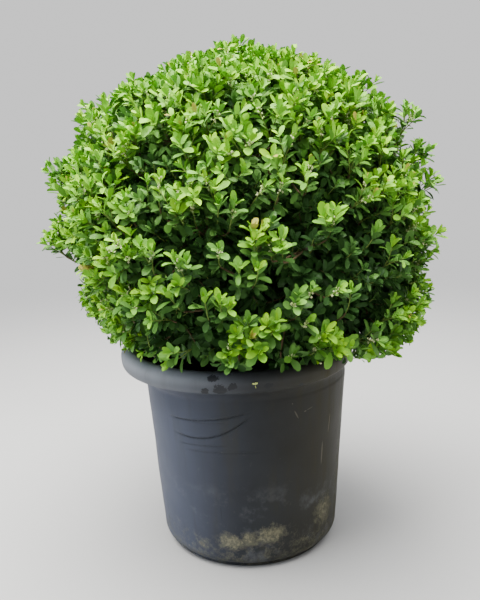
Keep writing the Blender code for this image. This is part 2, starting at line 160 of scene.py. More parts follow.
# Compost
SOIL_TOP = 0.266
SOIL_FALL = 0.006
COARSE_SOIL = (0.0016, 0.016)  # height and length of its lumps
FINE_SOIL = (0.0011, 0.0065)
CRUMBS = 900
CRUMB_SIZES = (0.0008, 0.0034)

# Stem
STEM_TOP = 0.385
STEM_FOOT_RADIUS = 0.026
STEM_WAIST_RADIUS = 0.0155
STEM_HEAD_RADIUS = 0.0115
STEM_LEAN = (0.007, -0.004)
STEM_BEND = 0.003
FLARE_HEIGHT = 0.030
FLARE_LOBES = 5
FLARE_DEPTH = 0.22

# The clipped ball and its masses, as in the solids
BALL_CENTRE = np.array((0.0, 0.0, 0.453))
BALL_RADIUS = 0.270
# Rings of masses: name, number of masses, and first and last angle down from the top
RINGS = (("top", 1, 0, 50), ("side", 5, 50, 131))
# Swellings and flats of the ball: azimuth, elevation, width in degrees, height
LUMPS = (
    (-10, 35, 13, 0.014), (190, 39, 13, 0.010), (-23, -21, 15, 0.010),
    (203, -18, 27, -0.034), (75, 10, 20, 0.008), (130, -12, 18, -0.008),
    (40, 55, 16, -0.006), (255, 70, 12, 0.005),
)
BOUGH_TIP_RADIUS = 0.0042
BOUGH_ROOT_RADIUS = {"top": 0.0090, "side": 0.0072}
BOUGH_ROOT_Z = {"top": STEM_TOP, "side": 0.340}
BOUGH_STAGGER = 0.016
BOUGH_END = 0.118
BOUGH_SAG = 0.010
BOUGH_KINK = (0.0016, 0.06)  # height and length
SHOOTS = 166  # twigs of the first order grow towards so many places, as in the solids
MASS_STEM_LENGTH = 0.045
GOLDEN_TURN = math.pi * (3 - math.sqrt(5))

# Finer growth
# Twigs of each kind: radius at the root and at the end, sides, place in TWIG_TINTS
MASS_STEM = (0.0036, 0.00252, 8, 2)
FIRST_TWIG = (0.0030, 0.0016, 5, 2)
TUFT_TWIG = (0.0015, 0.0010, 4, 1)
SHOOT = (0.0009, 0.0005, 3, 0)
INNER_TWIG = (0.0009, 0.0005, 3, 1)
# Pairs of leaves along a twig: place as a share of its length, leaf size, lean from it
TWIG_PAIRS = ((0.40, 1.00, 62), (0.62, 1.05, 62), (0.82, 1.05, 60), (0.98, 1.00, 58))
SHOOT_PAIRS = ((0.24, 0.95, 66), (0.46, 1.02, 60), (0.65, 1.08, 52), (0.81, 1.02, 43),
               (0.92, 0.86, 31), (0.99, 0.60, 15))
INNER_PAIRS = ((0.25, 1.05, 64), (0.45, 1.10, 62), (0.65, 1.15, 60), (0.85, 1.10, 52),
               (0.99, 0.90, 36))
# How many tints darker than the shoot's own each of its pairs is
SHOOT_STEPS = (3, 2, 1, 0, 0, -1)
APART_STEPS = (5, 4, 2, 1, 0, 0)  # where the tuft stands apart
# Tints dealt to young shoots, with their shares
YOUNG_TINTS = ((0.28, "lime"), (0.38, "spring"), (0.24, "fresh"), (0.10, "green"))
# By elevation: how much tufts turn up, how many lag behind, how much darker shoots are
# dealt, the tint of old leaves, and how much lighter leaves on the inside are; old and inner
# leaves are lighter higher up as painted light
TUFT_LIFT = ((-35, 0.36), (-10, 0.58), (25, 0.70), (60, 0.46))
LOST_SHARE = ((-30, 0.12), (20, 0.07), (50, 0.02))
DULLNESS = ((-30, 0.12), (20, 0.02), (60, -0.12))
OLD_TINTS = ((15, "bottle"), (30, "green"), (55, "fresh"))
INNER_PAINTED_LIGHT = ((0, 0.4), (12, 1.1), (30, 2.2), (45, 3.2))
FORK_DEPTH = 0.058  # twigs of the first order end this far under the clipped surface
FORK_FROM = 0.45  # twigs to the tufts leave them beyond this share of their length
TWIG_WANDER = 0.0035
TUFTS = 1000
TUFT_SHAKE = 0.036
TUFT_LEAN = 0.17
MOST_SHOOTS = 5  # in a tuft
SPARE = 400  # rows of random numbers kept for the named tufts
SHOOT_LENGTH = 0.034
SHOOT_END = 0.011  # a shoot ends this far under the surface, and its last leaves reach it
# What every shoot has of these, and what chance adds at most
SHOOT_SPREAD, SHOOT_SHARE, SHOOT_VIGOUR = (0.24, 0.36), (0.84, 0.26), (0.86, 0.24)
TOP_TRIM = 0.005  # the crown's flatter top
TRIMMED_FROM = (35, 80)  # degrees up, where the trim starts and where it is full
FULL_ABOVE = 42  # degrees up, above which each tuft has one more shoot
REACH_SHAKE = 0.0035
SHADE_TINT_DEPTH = 0.013  # sunk tufts are painted a tint darker, as shade, for each such depth
SIDE_TWIGS = 23  # leafy side twigs on each first-order twig
INNER_LIMIT = 0.026  # they end this far under the surface
INNER_LENGTHS = (0.026, 0.050)
INNER_VIGOUR = 1.30  # their leaves are larger
# How much leaves vary in turn (radians), lean (degrees), heading and face
TURN_SPREAD, LEAN_SPREAD, HEADING_SPREAD, FACE_SPREAD = 0.22, 9, 0.10, 0.12
CURL, CUP = (0.25, 0.35), (0.30, 0.18)  # mean and spread, in radians
LEAF_RISE = 0.10  # lift of each leaf's heading
LEAF_LENGTH = 0.0168
LEAF_SIZES = (0.86, 1.12)
LEAF_WIDTHS = (0.40, 0.53)  # as shares of the length
MISSING_LEAVES = 0.06
OPEN_SHARE = 0.92  # of the open front's tufts that are old, sunk and painted darker as shade
OPEN_DEPTHS = (0.014, 0.034)  # how far those are sunk at least
LOST_DEPTHS = (0.012, 0.026)  # and single tufts that lag behind, all over the ball
LIT_DEPTH = 0.012  # tufts sunk less than this have young leaves
NAMED_REACH = 0.272  # named tufts reach no further than this from the middle
NAMED_ROOM = 4.5  # degrees that other tufts keep clear of a named one
OPEN_ROOM = 5.5  # in the open front
APART_MARGIN = 4  # degrees over the open front's edge up to which named tufts stand apart
APART_SIZE = 1.13
APART_LENGTH = 1.15  # its base is set back, so that its middle stays in place
APART_SPREAD = 0.56
BUDDED_FROM = 0.80  # of the shoots by chance; a young shoot beyond this share is in bud
WARM_SHARE, YELLOW_SHARE = 0.012, 0.005  # of the shoots have brownish or yellow tips
# Hollows in the clipped surface: azimuth, elevation, half width, half height (degrees), depth
HOLLOWS = (
    (-74, 1, 14, 6.5, 0.060), (-54, -20.5, 7, 5.5, 0.055), (-106, -18, 9, 5, 0.055),
    (-114, -22, 6, 4, 0.045), (-89, -10, 6, 4, 0.048), (-80, -6.5, 4, 3, 0.040),
    (-70, -5, 4, 3, 0.036), (-102, -10, 5, 3.5, 0.042), (-111.5, -9, 4, 3, 0.036),
    (-83, -27, 13, 3.5, 0.045), (-90.5, 10, 6, 4, 0.050), (-92, 0, 4, 3.5, 0.042),
    (-99, 8.5, 5, 4, 0.045), (-110.5, 7, 4.5, 4, 0.055), (-77, 10, 4.5, 4, 0.050),
    (-48, 10, 5, 4, 0.042), (-124, -18, 5, 4, 0.035), (-96, -3, 5, 4, 0.045),
    (-74.5, 13.5, 5.5, 4.5, 0.052), (-82, 16, 4.5, 3.5, 0.046), (-63.5, 7.5, 5, 4, 0.050),
    (-62.5, 21.5, 5.5, 4.5, 0.048), (-58.5, 8, 5, 4, 0.042), (-50, 2.5, 4, 4, 0.036),
    (-113, 14.5, 6.5, 5, 0.055), (-116, -2, 5, 3.5, 0.036), (-114.5, 27.5, 4.5, 4, 0.036),
    (-120.5, 25, 5, 4, 0.036), (-127, 9.5, 6, 5, 0.042), (-87, 29, 3.2, 3.2, 0.034),
    (-88.5, 22, 3, 3, 0.028), (-104.5, -6.5, 3.5, 3, 0.034), (-110.5, 2, 3.5, 3, 0.030),
    (-119, 30, 3, 3, 0.020), (-57, 13, 3.5, 3, 0.034), (-73.8, 22, 4, 3.5, 0.040),
    (-83.5, 37, 4.5, 3, 0.028), (-75, -3, 5, 3, 0.050), (-72.5, 10.5, 4, 3, 0.040),
    (-103.5, 2, 3.5, 3, 0.038), (-126, 17, 4, 3.5, 0.030), (-132, 27, 5, 4, 0.026),
    (-118, -22.5, 5, 4, 0.040), (-90.5, 3.5, 3, 2.5, 0.040), (-70, 35, 4, 3, 0.024),
    (-59.5, 45, 4, 3, 0.022), (-168, -7.5, 16, 6, 0.036), (-14, -4, 9, 3, 0.020),
    (-14, 31, 12, 3, 0.030), (-163, 13, 10, 3.2, 0.022), (-78.2, -21.5, 4, 3, 0.045),
    (-51, 0.5, 4, 4, 0.045), (-83, 27, 4, 3.2, 0.040), (-72.6, -11.5, 4.5, 3, 0.044),
    (-73, 28.5, 3.5, 3, 0.034), (-66, 1.5, 5, 4.5, 0.060), (-132, 6.2, 4.5, 3.5, 0.018),
    (-63, 18.5, 4, 3, 0.045), (-60, 18, 3.5, 3, 0.045), (-86.8, 47, 4.5, 3.5, 0.032),
    (-69.5, -3.4, 3.5, 3, 0.050), (-67.5, 26.9, 4, 2.8, 0.036), (-108, 26.3, 3.5, 3, 0.036),
    (-135.5, 43.7, 4, 3, 0.016), (-126.5, 20, 3.5, 3, 0.030), (-40, -11, 4.5, 4, 0.040),
    (-87.2, 53.5, 4, 3, 0.032), (-79.4, 1.5, 3.5, 3, 0.040), (-96.9, 7, 3.5, 3, 0.046),
    (-45, 11.4, 3.5, 3, 0.036), (-161, 60, 14, 3, 0.014), (-53.5, 35, 3.5, 3, 0.014),
    (-166, 31, 9, 3, 0.018), (-115, 33, 3.5, 3, 0.024), (-109.5, 1.5, 3, 2.5, 0.040),
    (-60.8, 41, 4, 3.2, 0.024), (-99.2, -11, 4, 3, 0.036), (-101, 36.5, 3.5, 3, 0.026),
    (-64.5, 34, 4, 3, 0.032), (-44.2, -4.6, 4.5, 4, 0.042), (-147.3, 1.7, 5, 3, 0.014),
    (-128, -8.4, 4, 3, 0.018), (-41.9, 4.6, 4, 3, 0.028), (-77.2, 47.4, 4, 3, 0.024),
    (-36, 3.1, 4, 3, 0.026), (-56, 23, 4, 3, 0.034), (-147, 50, 6, 4, 0.024),
    (-138.8, -7.8, 4, 3, 0.022), (-88.4, -9, 4, 3, 0.044), (-107.5, 44.5, 4, 3, 0.022),
    (-81.3, 43, 4, 3, 0.026), (-103.5, -5, 3, 3, 0.044), (-12, -9, 12, 3.5, 0.016),
    (-135, 70, 24, 7, 0.007),
)
MORE_HOLLOWS = 36  # seeded ones round the sides and the back
HOLLOW_ROOM = 12  # degrees between those and any other
STRAY_SHOOTS = 4  # in each stray tuft
# Strays, tufts that stand out of the outline: azimuth, elevation, distance from the middle
STRAYS = (
    (-98, 82, 0.274), (-16, 35, 0.302), (-15, 25.5, 0.288), (-15, 17, 0.286),
    (-16, 3, 0.277), (-17, -1, 0.279), (-18, -22, 0.286), (-14, -26, 0.283),
    (-22, -27, 0.284), (-18, -31, 0.280), (-27, -31, 0.279), (-36, -30.3, 0.276),
    (-43, -31, 0.274), (-164, 3.6, 0.283), (-166, 7, 0.274), (-16, -13, 0.280),
    (-18, -17, 0.278), (-58, 66, 0.274), (-46, 62, 0.276), (-166, 25, 0.284),
    (-166, 20, 0.280), (60, 30, 0.288), (110, 5, 0.286), (140, 40, 0.287),
    (-16.7, 50.2, 0.284),
)
# Named tufts in front: azimuth, elevation, number of shoots and leaf tint. Those in the open
# front stand apart, with one shoot less; those above it are like the tufts round them.
FRONT_TUFTS = (
    (-122.5, 15.3, 3, "spring"), (-107.5, 19, 3, "spring"), (-105.3, 15.5, 3, "lime"),
    (-101.5, 17, 2, "spring"), (-95.6, 17.1, 2, "spring"), (-84, 13.1, 1, "grass"),
    (-86.6, 8.8, 4, "yellow_tip"), (-85, 0.3, 2, "lime"), (-98, 4, 2, "fresh"),
    (-106, -2.6, 2, "lime"), (-109, -6.6, 2, "lime"), (-94.6, -8.6, 3, "lime"),
    (-90.3, -16.6, 4, "lime"), (-88, -15, 2, "fresh"), (-120.4, -9.2, 3, "fresh"),
    (-116.5, -3.4, 2, "lime"), (-115.3, 5.6, 3, "lime"), (-125, 5.3, 2, "spring"),
    (-120, 4.1, 3, "spring"), (-114.6, -27.5, 3, "spring"), (-96.2, -25.9, 2, "grass"),
    (-124.5, -15, 1, "fresh"), (-120.6, -20.9, 2, "green"), (-81.3, 6.5, 3, "lime"),
    (-66, 12.3, 4, "lime"), (-51.5, 17, 3, "lime"), (-44.8, 19.2, 2, "lime"),
    (-40.5, 0.6, 2, "spring"), (-40, 12.3, 3, "spring"), (-66.5, -7.5, 1, "spring"),
    (-72, -7.5, 2, "fresh"), (-76.6, -8, 3, "fresh"), (-59, -8.7, 1, "fresh"),
    (-83.5, -14.6, 4, "lime"), (-71.2, -16.8, 1, "spring"), (-65.8, -20.3, 4, "lime"),
    (-57.6, -24.4, 3, "lime"), (-67.3, -24.5, 1, "spring"), (-73.5, -27, 2, "fresh"),
    (-48.9, -29.0, 3, "green"), (-46.2, -23, 3, "fresh"), (-79.3, 9, 2, "lime"),
    (-60.6, 35, 4, "lime"), (-96.5, 22, 2, "lime"), (-88, -21, 4, "lime"),
    (-95, 32, 3, "lime"), (-127, 1, 2, "spring"), (-79.5, 22, 2, "spring"),
    (-108.5, 38, 3, "lime"), (-117, -12, 3, "spring"), (-52, 50, 3, "lime"),
    (-34, 63, 3, "lime"), (-128.5, 36, 4, "lime"), (-135, -1.5, 3, "lime"),
    (-93, -22.2, 4, "lime"), (-122, 47.5, 3, "lime"), (-43.5, 39, 4, "yellow_tip"),
    (-54.5, 28, 3, "spring"), (-54, 61, 3, "lime"), (-76, 58, 3, "lime"),
    (-107, 34, 3, "spring"), (-166.5, 22, 3, "lime"), (-64.5, 58.5, 4, "lime"),
    (-122, 41, 3, "lime"), (-74, 42, 3, "lime"), (-33.6, 19.4, 4, "lime"),
    (-59, 52, 4, "lime"), (-90, 37, 4, "spring"), (-38, 31, 4, "lime"),
    (-160, 20, 4, "yellow_tip"), (-147.7, 38, 4, "lime"), (-152.9, 8, 4, "lime"),
    (-113.6, 21.5, 1, "lime"), (-42, 57.5, 4, "lime"), (-94, 57, 4, "lime"),
    (-90, 31.5, 3, "lime"), (-130.5, -15.5, 2, "lime"), (-46.5, 27.5, 1, "spring"),
    (-117.5, -7.5, 3, "lime"), (-91.9, 14.4, 2, "spring"), (-117.5, 43.5, 2, "spring"),
    (-108.5, 41, 2, "lime"), (-131.3, 31.3, 4, "yellow_tip"), (-100.5, 42, 3, "spring"),
    (-143, 14, 4, "lime"), (-131, 16.6, 3, "lime"), (-141.5, -4.2, 3, "lime"),
    (-46, 61, 4, "yellow_tip"), (-76.8, 25.5, 1, "fresh"), (-103.7, 19.8, 3, "lime"),
    (-70.4, 24.6, 2, "lime"), (-84.5, 20.6, 2, "spring"), (-105.8, 2.3, 3, "spring"),
    (-80.5, 40.5, 2, "spring"), (-78.5, 29.5, 1, "lime"), (-100.3, -8, 2, "spring"),
    (-55.3, 39.3, 2, "spring"), (-122.3, 8, 2, "lime"), (-131.5, 2.4, 2, "lime"),
    (-100, 78, 4, "yellow_tip"), (-49, 4.6, 2, "fresh"), (-124.5, -8.5, 3, "lime"),
    (-145, -1.8, 4, "yellow_tip"), (-41, 52.5, 3, "lime"), (-132, 23.5, 3, "lime"),
    (-90.5, 0.2, 1, "spring"), (-141.3, 33, 3, "lime"), (-74.6, 33.3, 2, "spring"),
    (-40.5, 19.3, 3, "lime"), (-62, -24.4, 4, "lime"),
)
# Upper edge of the open front, where other tufts are old, sunk and painted darker as shade:
# azimuth, elevation
OPEN_FRONT = ((-136, -30), (-127, -6), (-118, 6), (-106, 13), (-92, 15), (-78, 19),
              (-62, 15), (-50, 8), (-43, -8), (-38, -30))
# Lowest elevation that leaves reach, by azimuth
SKIRT = ((-180, -22), (-150, -18), (-133, -21), (-118, -30), (-104, -28.5), (-89, -29),
         (-74, -30.5), (-55, -32), (-42, -33), (-25, -34), (0, -33), (40, -32), (90, -33),
         (140, -31), (180, -22))
BUD_NODES = (0.62, 0.80, 0.93)  # as shares of the shoot's length
BUDS_AT_NODE = 5
BUD_SIZES = (0.0011, 0.0018)
BUD_REACH = (0.0014, 0.0040)  # from the node
BOX_PROUD = 0.006  # leaves may stand this far out of the solids' box

# Studio
FLOOR_PALE = 0.30
FLOOR_Z = -0.0002
FLOOR_RINGS = (0.4, 2.0, 8.0, 40.0)
BACKDROP = 0.95
SKY = ((0.0, BACKDROP), (0.21, BACKDROP), (0.32, 0.12), (0.62, 1.00), (1.0, 6.80))
# Lamps: name, place, the spot it points at, size, power and colour
LAMPS = (
    ("overhead", (-0.45, -0.20, 2.45), (0, 0, 0.45), (2.2, 2.2), 282, (1.0, 0.98, 0.92)),
    ("window", (-1.9, -0.85, 0.62), (0, 0, 0.24), (0.9, 0.8), 19, (0.72, 0.85, 1.0)),
)
CAMERA_PLACE = (-0.0045, -1.0, 0.5864)
CAMERA_LENS = 41.64
CAMERA_PITCH = 0.2219  # radians
CAMERA_ROLL = -0.0354


# Vectors and curves ----------------------------------------------------------------


def unit(vectors):
    length = np.linalg.norm(vectors, axis=-1, keepdims=True)
    return vectors / np.maximum(length, 1e-9)


def dot(first, second):
    return np.sum(first * second, axis=-1, keepdims=True)


def smoothstep(value, low, high):
    share = np.clip((value - low) / (high - low), 0, 1)
    return share * share * (3 - 2 * share)


def polar_direction(azimuth, elevation):
    """Unit vectors at azimuths and elevations in degrees."""
    turn, rise = np.radians(azimuth), np.radians(elevation)
    return np.stack(
        [np.cos(rise) * np.cos(turn), np.cos(rise) * np.sin(turn), np.sin(rise)], axis=-1
    )


def azimuth_of(vectors):
    return np.degrees(np.arctan2(vectors[..., 1], vectors[..., 0]))


def elevation_of(vectors):
    return np.degrees(np.arcsin(np.clip(unit(vectors)[..., 2], -1, 1)))


def by_angle(angles, table, **beyond):
    """Values at these angles, read between the rows (angle, value) of a table."""
    return np.interp(angles, *np.array(table).T, **beyond)


def full_turn(count):
    """So many angles evenly round a circle."""
    return 2 * math.pi * np.arange(count) / count


def round_axis(radii, turns, heights):
    """Points at these radii, turns and heights round the Z axis."""
    return np.stack(
        np.broadcast_arrays(np.cos(turns) * radii, np.sin(turns) * radii, heights), -1
    )


def waves(points, seed, height, length, count=24):
    """A smooth random field over points, about -height to height: a sum of plane waves."""
    own = np.random.default_rng(seed)
    ways = unit(own.normal(size=(count, points.shape[-1]))) * own.uniform(0.5, 1.6, (count, 1))
    phases = own.uniform(0, 2 * math.pi, count)
    field = np.sin(points @ ways.T * (2 * math.pi / length) + phases)
    return height * (field.sum(axis=-1) / math.sqrt(count / 2) * 0.6)


def bend_between(start, leave, end, arrive, steps):
    """Points of a smooth curve between starts and ends, leaving and arriving along the
    given vectors. Arrays (n, 3) in, (n, steps, 3) out."""
    share = np.linspace(0, 1, steps)[None, :, None]
    start, leave, end, arrive = (item[:, None, :] for item in (start, leave, end, arrive))
    return (
        (2 * share**3 - 3 * share**2 + 1) * start
        + (share**3 - 2 * share**2 + share) * leave
        + (-2 * share**3 + 3 * share**2) * end
        + (share**3 - share**2) * arrive
    )


def any_side(vectors):
    """A unit vector square to each vector."""
    helper = np.where(np.abs(vectors[..., 2:3]) < 0.9, (0.0, 0.0, 1.0), (1.0, 0.0, 0.0))
    return unit(np.cross(vectors, helper))


def outward_from(ahead, turn):
    """Unit vectors square to each heading, turned round it."""
    side = any_side(ahead)
    return side * np.cos(turn)[:, None] + np.cross(ahead, side) * np.sin(turn)[:, None]


def spots_on(lines, share):
    """Points on lines (n, p, 3) at these shares of their length, and the headings there."""
    place = np.broadcast_to(share, len(lines)) * (lines.shape[1] - 1)
    low = place.astype(int)
    part = (place - low)[:, None]
    each = np.arange(len(lines))
    here, there = lines[each, low], lines[each, low + 1]
    return here * (1 - part) + there * part, unit(there - here)


# Joined meshes ---------------------------------------------------------------------


def joined(name, finishes, *batches):
    """One mesh of many small shapes. Each batch has the corners (n, v, 3) of n shapes, the
    triangles (f, 3) of one, and may have the number of the finish of each shape."""
    points, faces, tints, count = [], [], [], 0
    for corners, triangles, *tint in batches:
        shapes, size = corners.shape[:2]
        offsets = count + size * np.arange(shapes)[:, None, None]
        points.append(corners.reshape(-1, 3))
        faces.append((np.asarray(triangles)[None] + offsets).reshape(-1, 3))
        tint = np.broadcast_to(tint[0] if tint else 0, (shapes,))
        tints.append(np.repeat(tint, len(triangles)))
        count += shapes * size
    return plain_mesh(name, *(np.concatenate(item) for item in (points, faces)), finishes,
                      np.concatenate(tints))


def plain_mesh(name, points, faces, finishes, tints=None):
    """An object from corners (n, 3) and triangles (f, 3)."""
    mesh = bpy.data.meshes.new(name)
    mesh.vertices.add(len(points))
    mesh.vertices.foreach_set("co", np.ascontiguousarray(points, dtype=np.float32).ravel())
    mesh.loops.add(len(faces) * 3)
    mesh.loops.foreach_set("vertex_index", np.ascontiguousarray(faces, dtype=np.int32).ravel())
    mesh.polygons.add(len(faces))
    mesh.polygons.foreach_set("loop_start", np.arange(0, len(faces) * 3, 3, dtype=np.int32))
    if tints is not None:
        mesh.polygons.foreach_set("material_index", tints.astype(np.int32))
    for finish in finishes:
        mesh.materials.append(finish)
    mesh.update(calc_edges=True)
    mesh.polygons.foreach_set("use_smooth", np.full(len(faces), True))
    mesh.update()
    made = bpy.data.objects.new(name, mesh)
    bpy.context.scene.collection.objects.link(made)
    return made


def dress(piece, slot, *nodes):
    """Fix a piece to the part and hide the solids that it stands for; its slot is not used."""
    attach(piece, "root")
    if nodes:
        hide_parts(*nodes)


def grid_faces(rows, columns):
    """Triangles of a grid of corners, row by row, whose last column joins the first."""
    row = np.arange(rows - 1)[:, None] * columns
    column = np.arange(columns)[None, :]
    after = (column + 1) % columns
    a, b, c, d = row + column, row + after, row + columns + after, row + columns + column
    halves = [np.stack(corners, -1).reshape(-1, 3) for corners in ((a, b, c), (a, c, d))]
    return np.concatenate(halves)


def fan_faces(start, sides, centre):
    """Triangles from a ring of corners, numbered from start, to one corner in its middle."""
    ring = start + np.arange(sides)
    return np.stack([ring, np.roll(ring, -1), np.full(sides, centre)], -1)


def capped_faces(rows, columns):
    """Triangles of rings whose ends are closed by the last two corners, first end first."""
    centre = rows * columns
    end = fan_faces(centre - columns, columns, centre + 1)
    start = fan_faces(0, columns, centre)
    return np.concatenate([grid_faces(rows, columns)[:, ::-1], start, end[:, [1, 0, 2]]])


def tube_faces(points, sides):
    """Triangles of a tube of rings, with both ends closed by a fan."""
    faces = [grid_faces(points, sides)]
    last = (points - 1) * sides
    for corner in range(1, sides - 1):
        faces.append([(0, corner + 1, corner), (last, last + corner, last + corner + 1)])
    return np.concatenate(faces)


def tube_points(lines, radii, sides):
    """Rings round lines (n, p, 3) with radii (p) or (n, p), as corners (n, p * sides, 3)."""
    ahead = unit(np.gradient(lines, axis=1))
    side = any_side(ahead[:, :1] + ahead[:, -1:])
    across = unit(side - ahead * dot(side, ahead))
    over = np.cross(ahead, across)
    turns = full_turn(sides)[:, None]
    ring = across[:, :, None] * np.cos(turns) + over[:, :, None] * np.sin(turns)
    rings = lines[:, :, None] + ring * np.broadcast_to(radii, lines.shape[:2])[:, :, None, None]
    return rings.reshape(len(lines), -1, 3)


# Finishes --------------------------------------------------------------------------


class Wire:
    """A socket of a finish, with sums on it written as plain arithmetic."""

    def __init__(self, finish, socket):
        self.finish, self.socket = finish, socket

    def _math(self, operation, *others, clamp=False):
        settings = {"operation": operation, "use_clamp": clamp}
        return self.finish.node("ShaderNodeMath", settings, dict(enumerate((self, *others))))

    def __add__(self, other):
        return self._math("ADD", other)

    def __sub__(self, other):
        return self._math("SUBTRACT", other)

    def __rsub__(self, other):
        return Wire(self.finish, other)._math("SUBTRACT", self)

    def __mul__(self, other):
        return self._math("MULTIPLY", other)

    __radd__, __rmul__ = __add__, __mul__

    def larger(self, other):
        return self._math("MAXIMUM", other)

    def clamped(self):
        return self._math("ADD", 0.0, clamp=True)

    def between(self, low, high):
        """0 below low, 1 above high, smooth between."""
        settings = {"interpolation_type": "SMOOTHSTEP"}
        sockets = {0: self, 1: low, 2: high, 3: 0.0, 4: 1.0}
        return self.finish.node("ShaderNodeMapRange", settings, sockets)


class Finish:
    """A material in the making: its nodes end in one Principled shader."""

    def __init__(self, name, constants=None):
        self.material = bpy.data.materials.new(name)
        self.material.use_nodes = True
        self.tree = self.material.node_tree
        self.shader = self.tree.nodes["Principled BSDF"]
        self.colour = None
        for socket, value in (constants or {}).items():
            self.feed(socket, value)

    def feed(self, socket, value):
        self._join(value, self.shader.inputs[socket])

    def _join(self, value, socket):
        if isinstance(value, Wire):
            value = value.socket
        if isinstance(value, bpy.types.NodeSocket):
            self.tree.links.new(value, socket)
        elif isinstance(value, tuple) and len(value) == 3 and socket.type == "RGBA":
            socket.default_value = (*value, 1.0)
        else:
            socket.default_value = value

    def node(self, kind, settings=None, sockets=None, output=0):
        made = self.tree.nodes.new(kind)
        for name, value in (settings or {}).items():
            setattr(made, name, value)
        for key, value in (sockets or {}).items():
            self._join(value, made.inputs[key])
        return Wire(self, made.outputs[output])

    def vector(self, operation, *vectors, output="Vector"):
        sockets = dict(enumerate(vectors))
        return self.node("ShaderNodeVectorMath", {"operation": operation}, sockets, output)

    def mix(self, share, first, second):
        """A colour between two, by share."""
        sockets = {0: share, 6: first, 7: second}
        return self.node("ShaderNodeMix", {"data_type": "RGBA"}, sockets, 2)

    def base(self, share, dark, light):
        """The base colour: between two, by share."""
        self.colour = self.mix(share, dark, light)
        self.feed("Base Color", self.colour)

    def lay(self, share, colour):
        """Lay another colour over the base colour, by share."""
        self.base(share, self.colour, colour)

    def place(self):
        return self.node("ShaderNodeTexCoord", output="Object")

    def noise(self, place, scale, detail=4.0, roughness=0.5, stretch=None):
        if stretch:
            place = self.vector("MULTIPLY", place, stretch)
        sockets = {"Vector": place, "Scale": scale, "Detail": detail, "Roughness": roughness}
        return self.node("ShaderNodeTexNoise", None, sockets)

    def bump(self, height, distance, strength=1.0):
        sockets = {"Height": height, "Distance": distance, "Strength": strength}
        self.feed("Normal", self.node("ShaderNodeBump", None, sockets))


def wall_radius(height):
    share = (height - WALL_FOOT_Z) / (WALL_TOP_Z - WALL_FOOT_Z)
    return WALL_FOOT_RADIUS + (WALL_TOP_RADIUS - WALL_FOOT_RADIUS) * share


def pressed(finish):
    """How deep a crease is pressed in at a point of the pot, as kept on its mesh."""
    return finish.node("ShaderNodeAttribute", {"attribute_name": "pressed"}, None, "Fac")


def mark(finish, place, azimuth, height, wide, tall, tilt=0.0, radius=None, shift=0.0):
    """How near a point of the pot lies to a mark on it: 1 in the mark's middle, 0 at its
    edge and beyond. Azimuth and tilt in degrees, the rest in metres."""
    turn, lean = math.radians(azimuth), math.radians(tilt)
    outward = Vector((math.cos(turn), math.sin(turn), 0))
    level = Vector((-math.sin(turn), math.cos(turn), 0))
    upward = Vector((0, 0, 1))
    middle = outward * (radius or wall_radius(height)) + upward * height + Vector((shift, 0, 0))
    along = level * math.cos(lean) + upward * math.sin(lean)
    across = upward * math.cos(lean) - level * math.sin(lean)
    away = finish.vector("SUBTRACT", place, tuple(middle))
    x, y, z = (
        finish.vector("DOT_PRODUCT", away, tuple(way / size), output="Value")
        for way, size in ((along, wide), (across, tall), (outward, MARK_DEPTH))
    )
    return (1.0 - (x * x + y * y + z * z)).clamped()


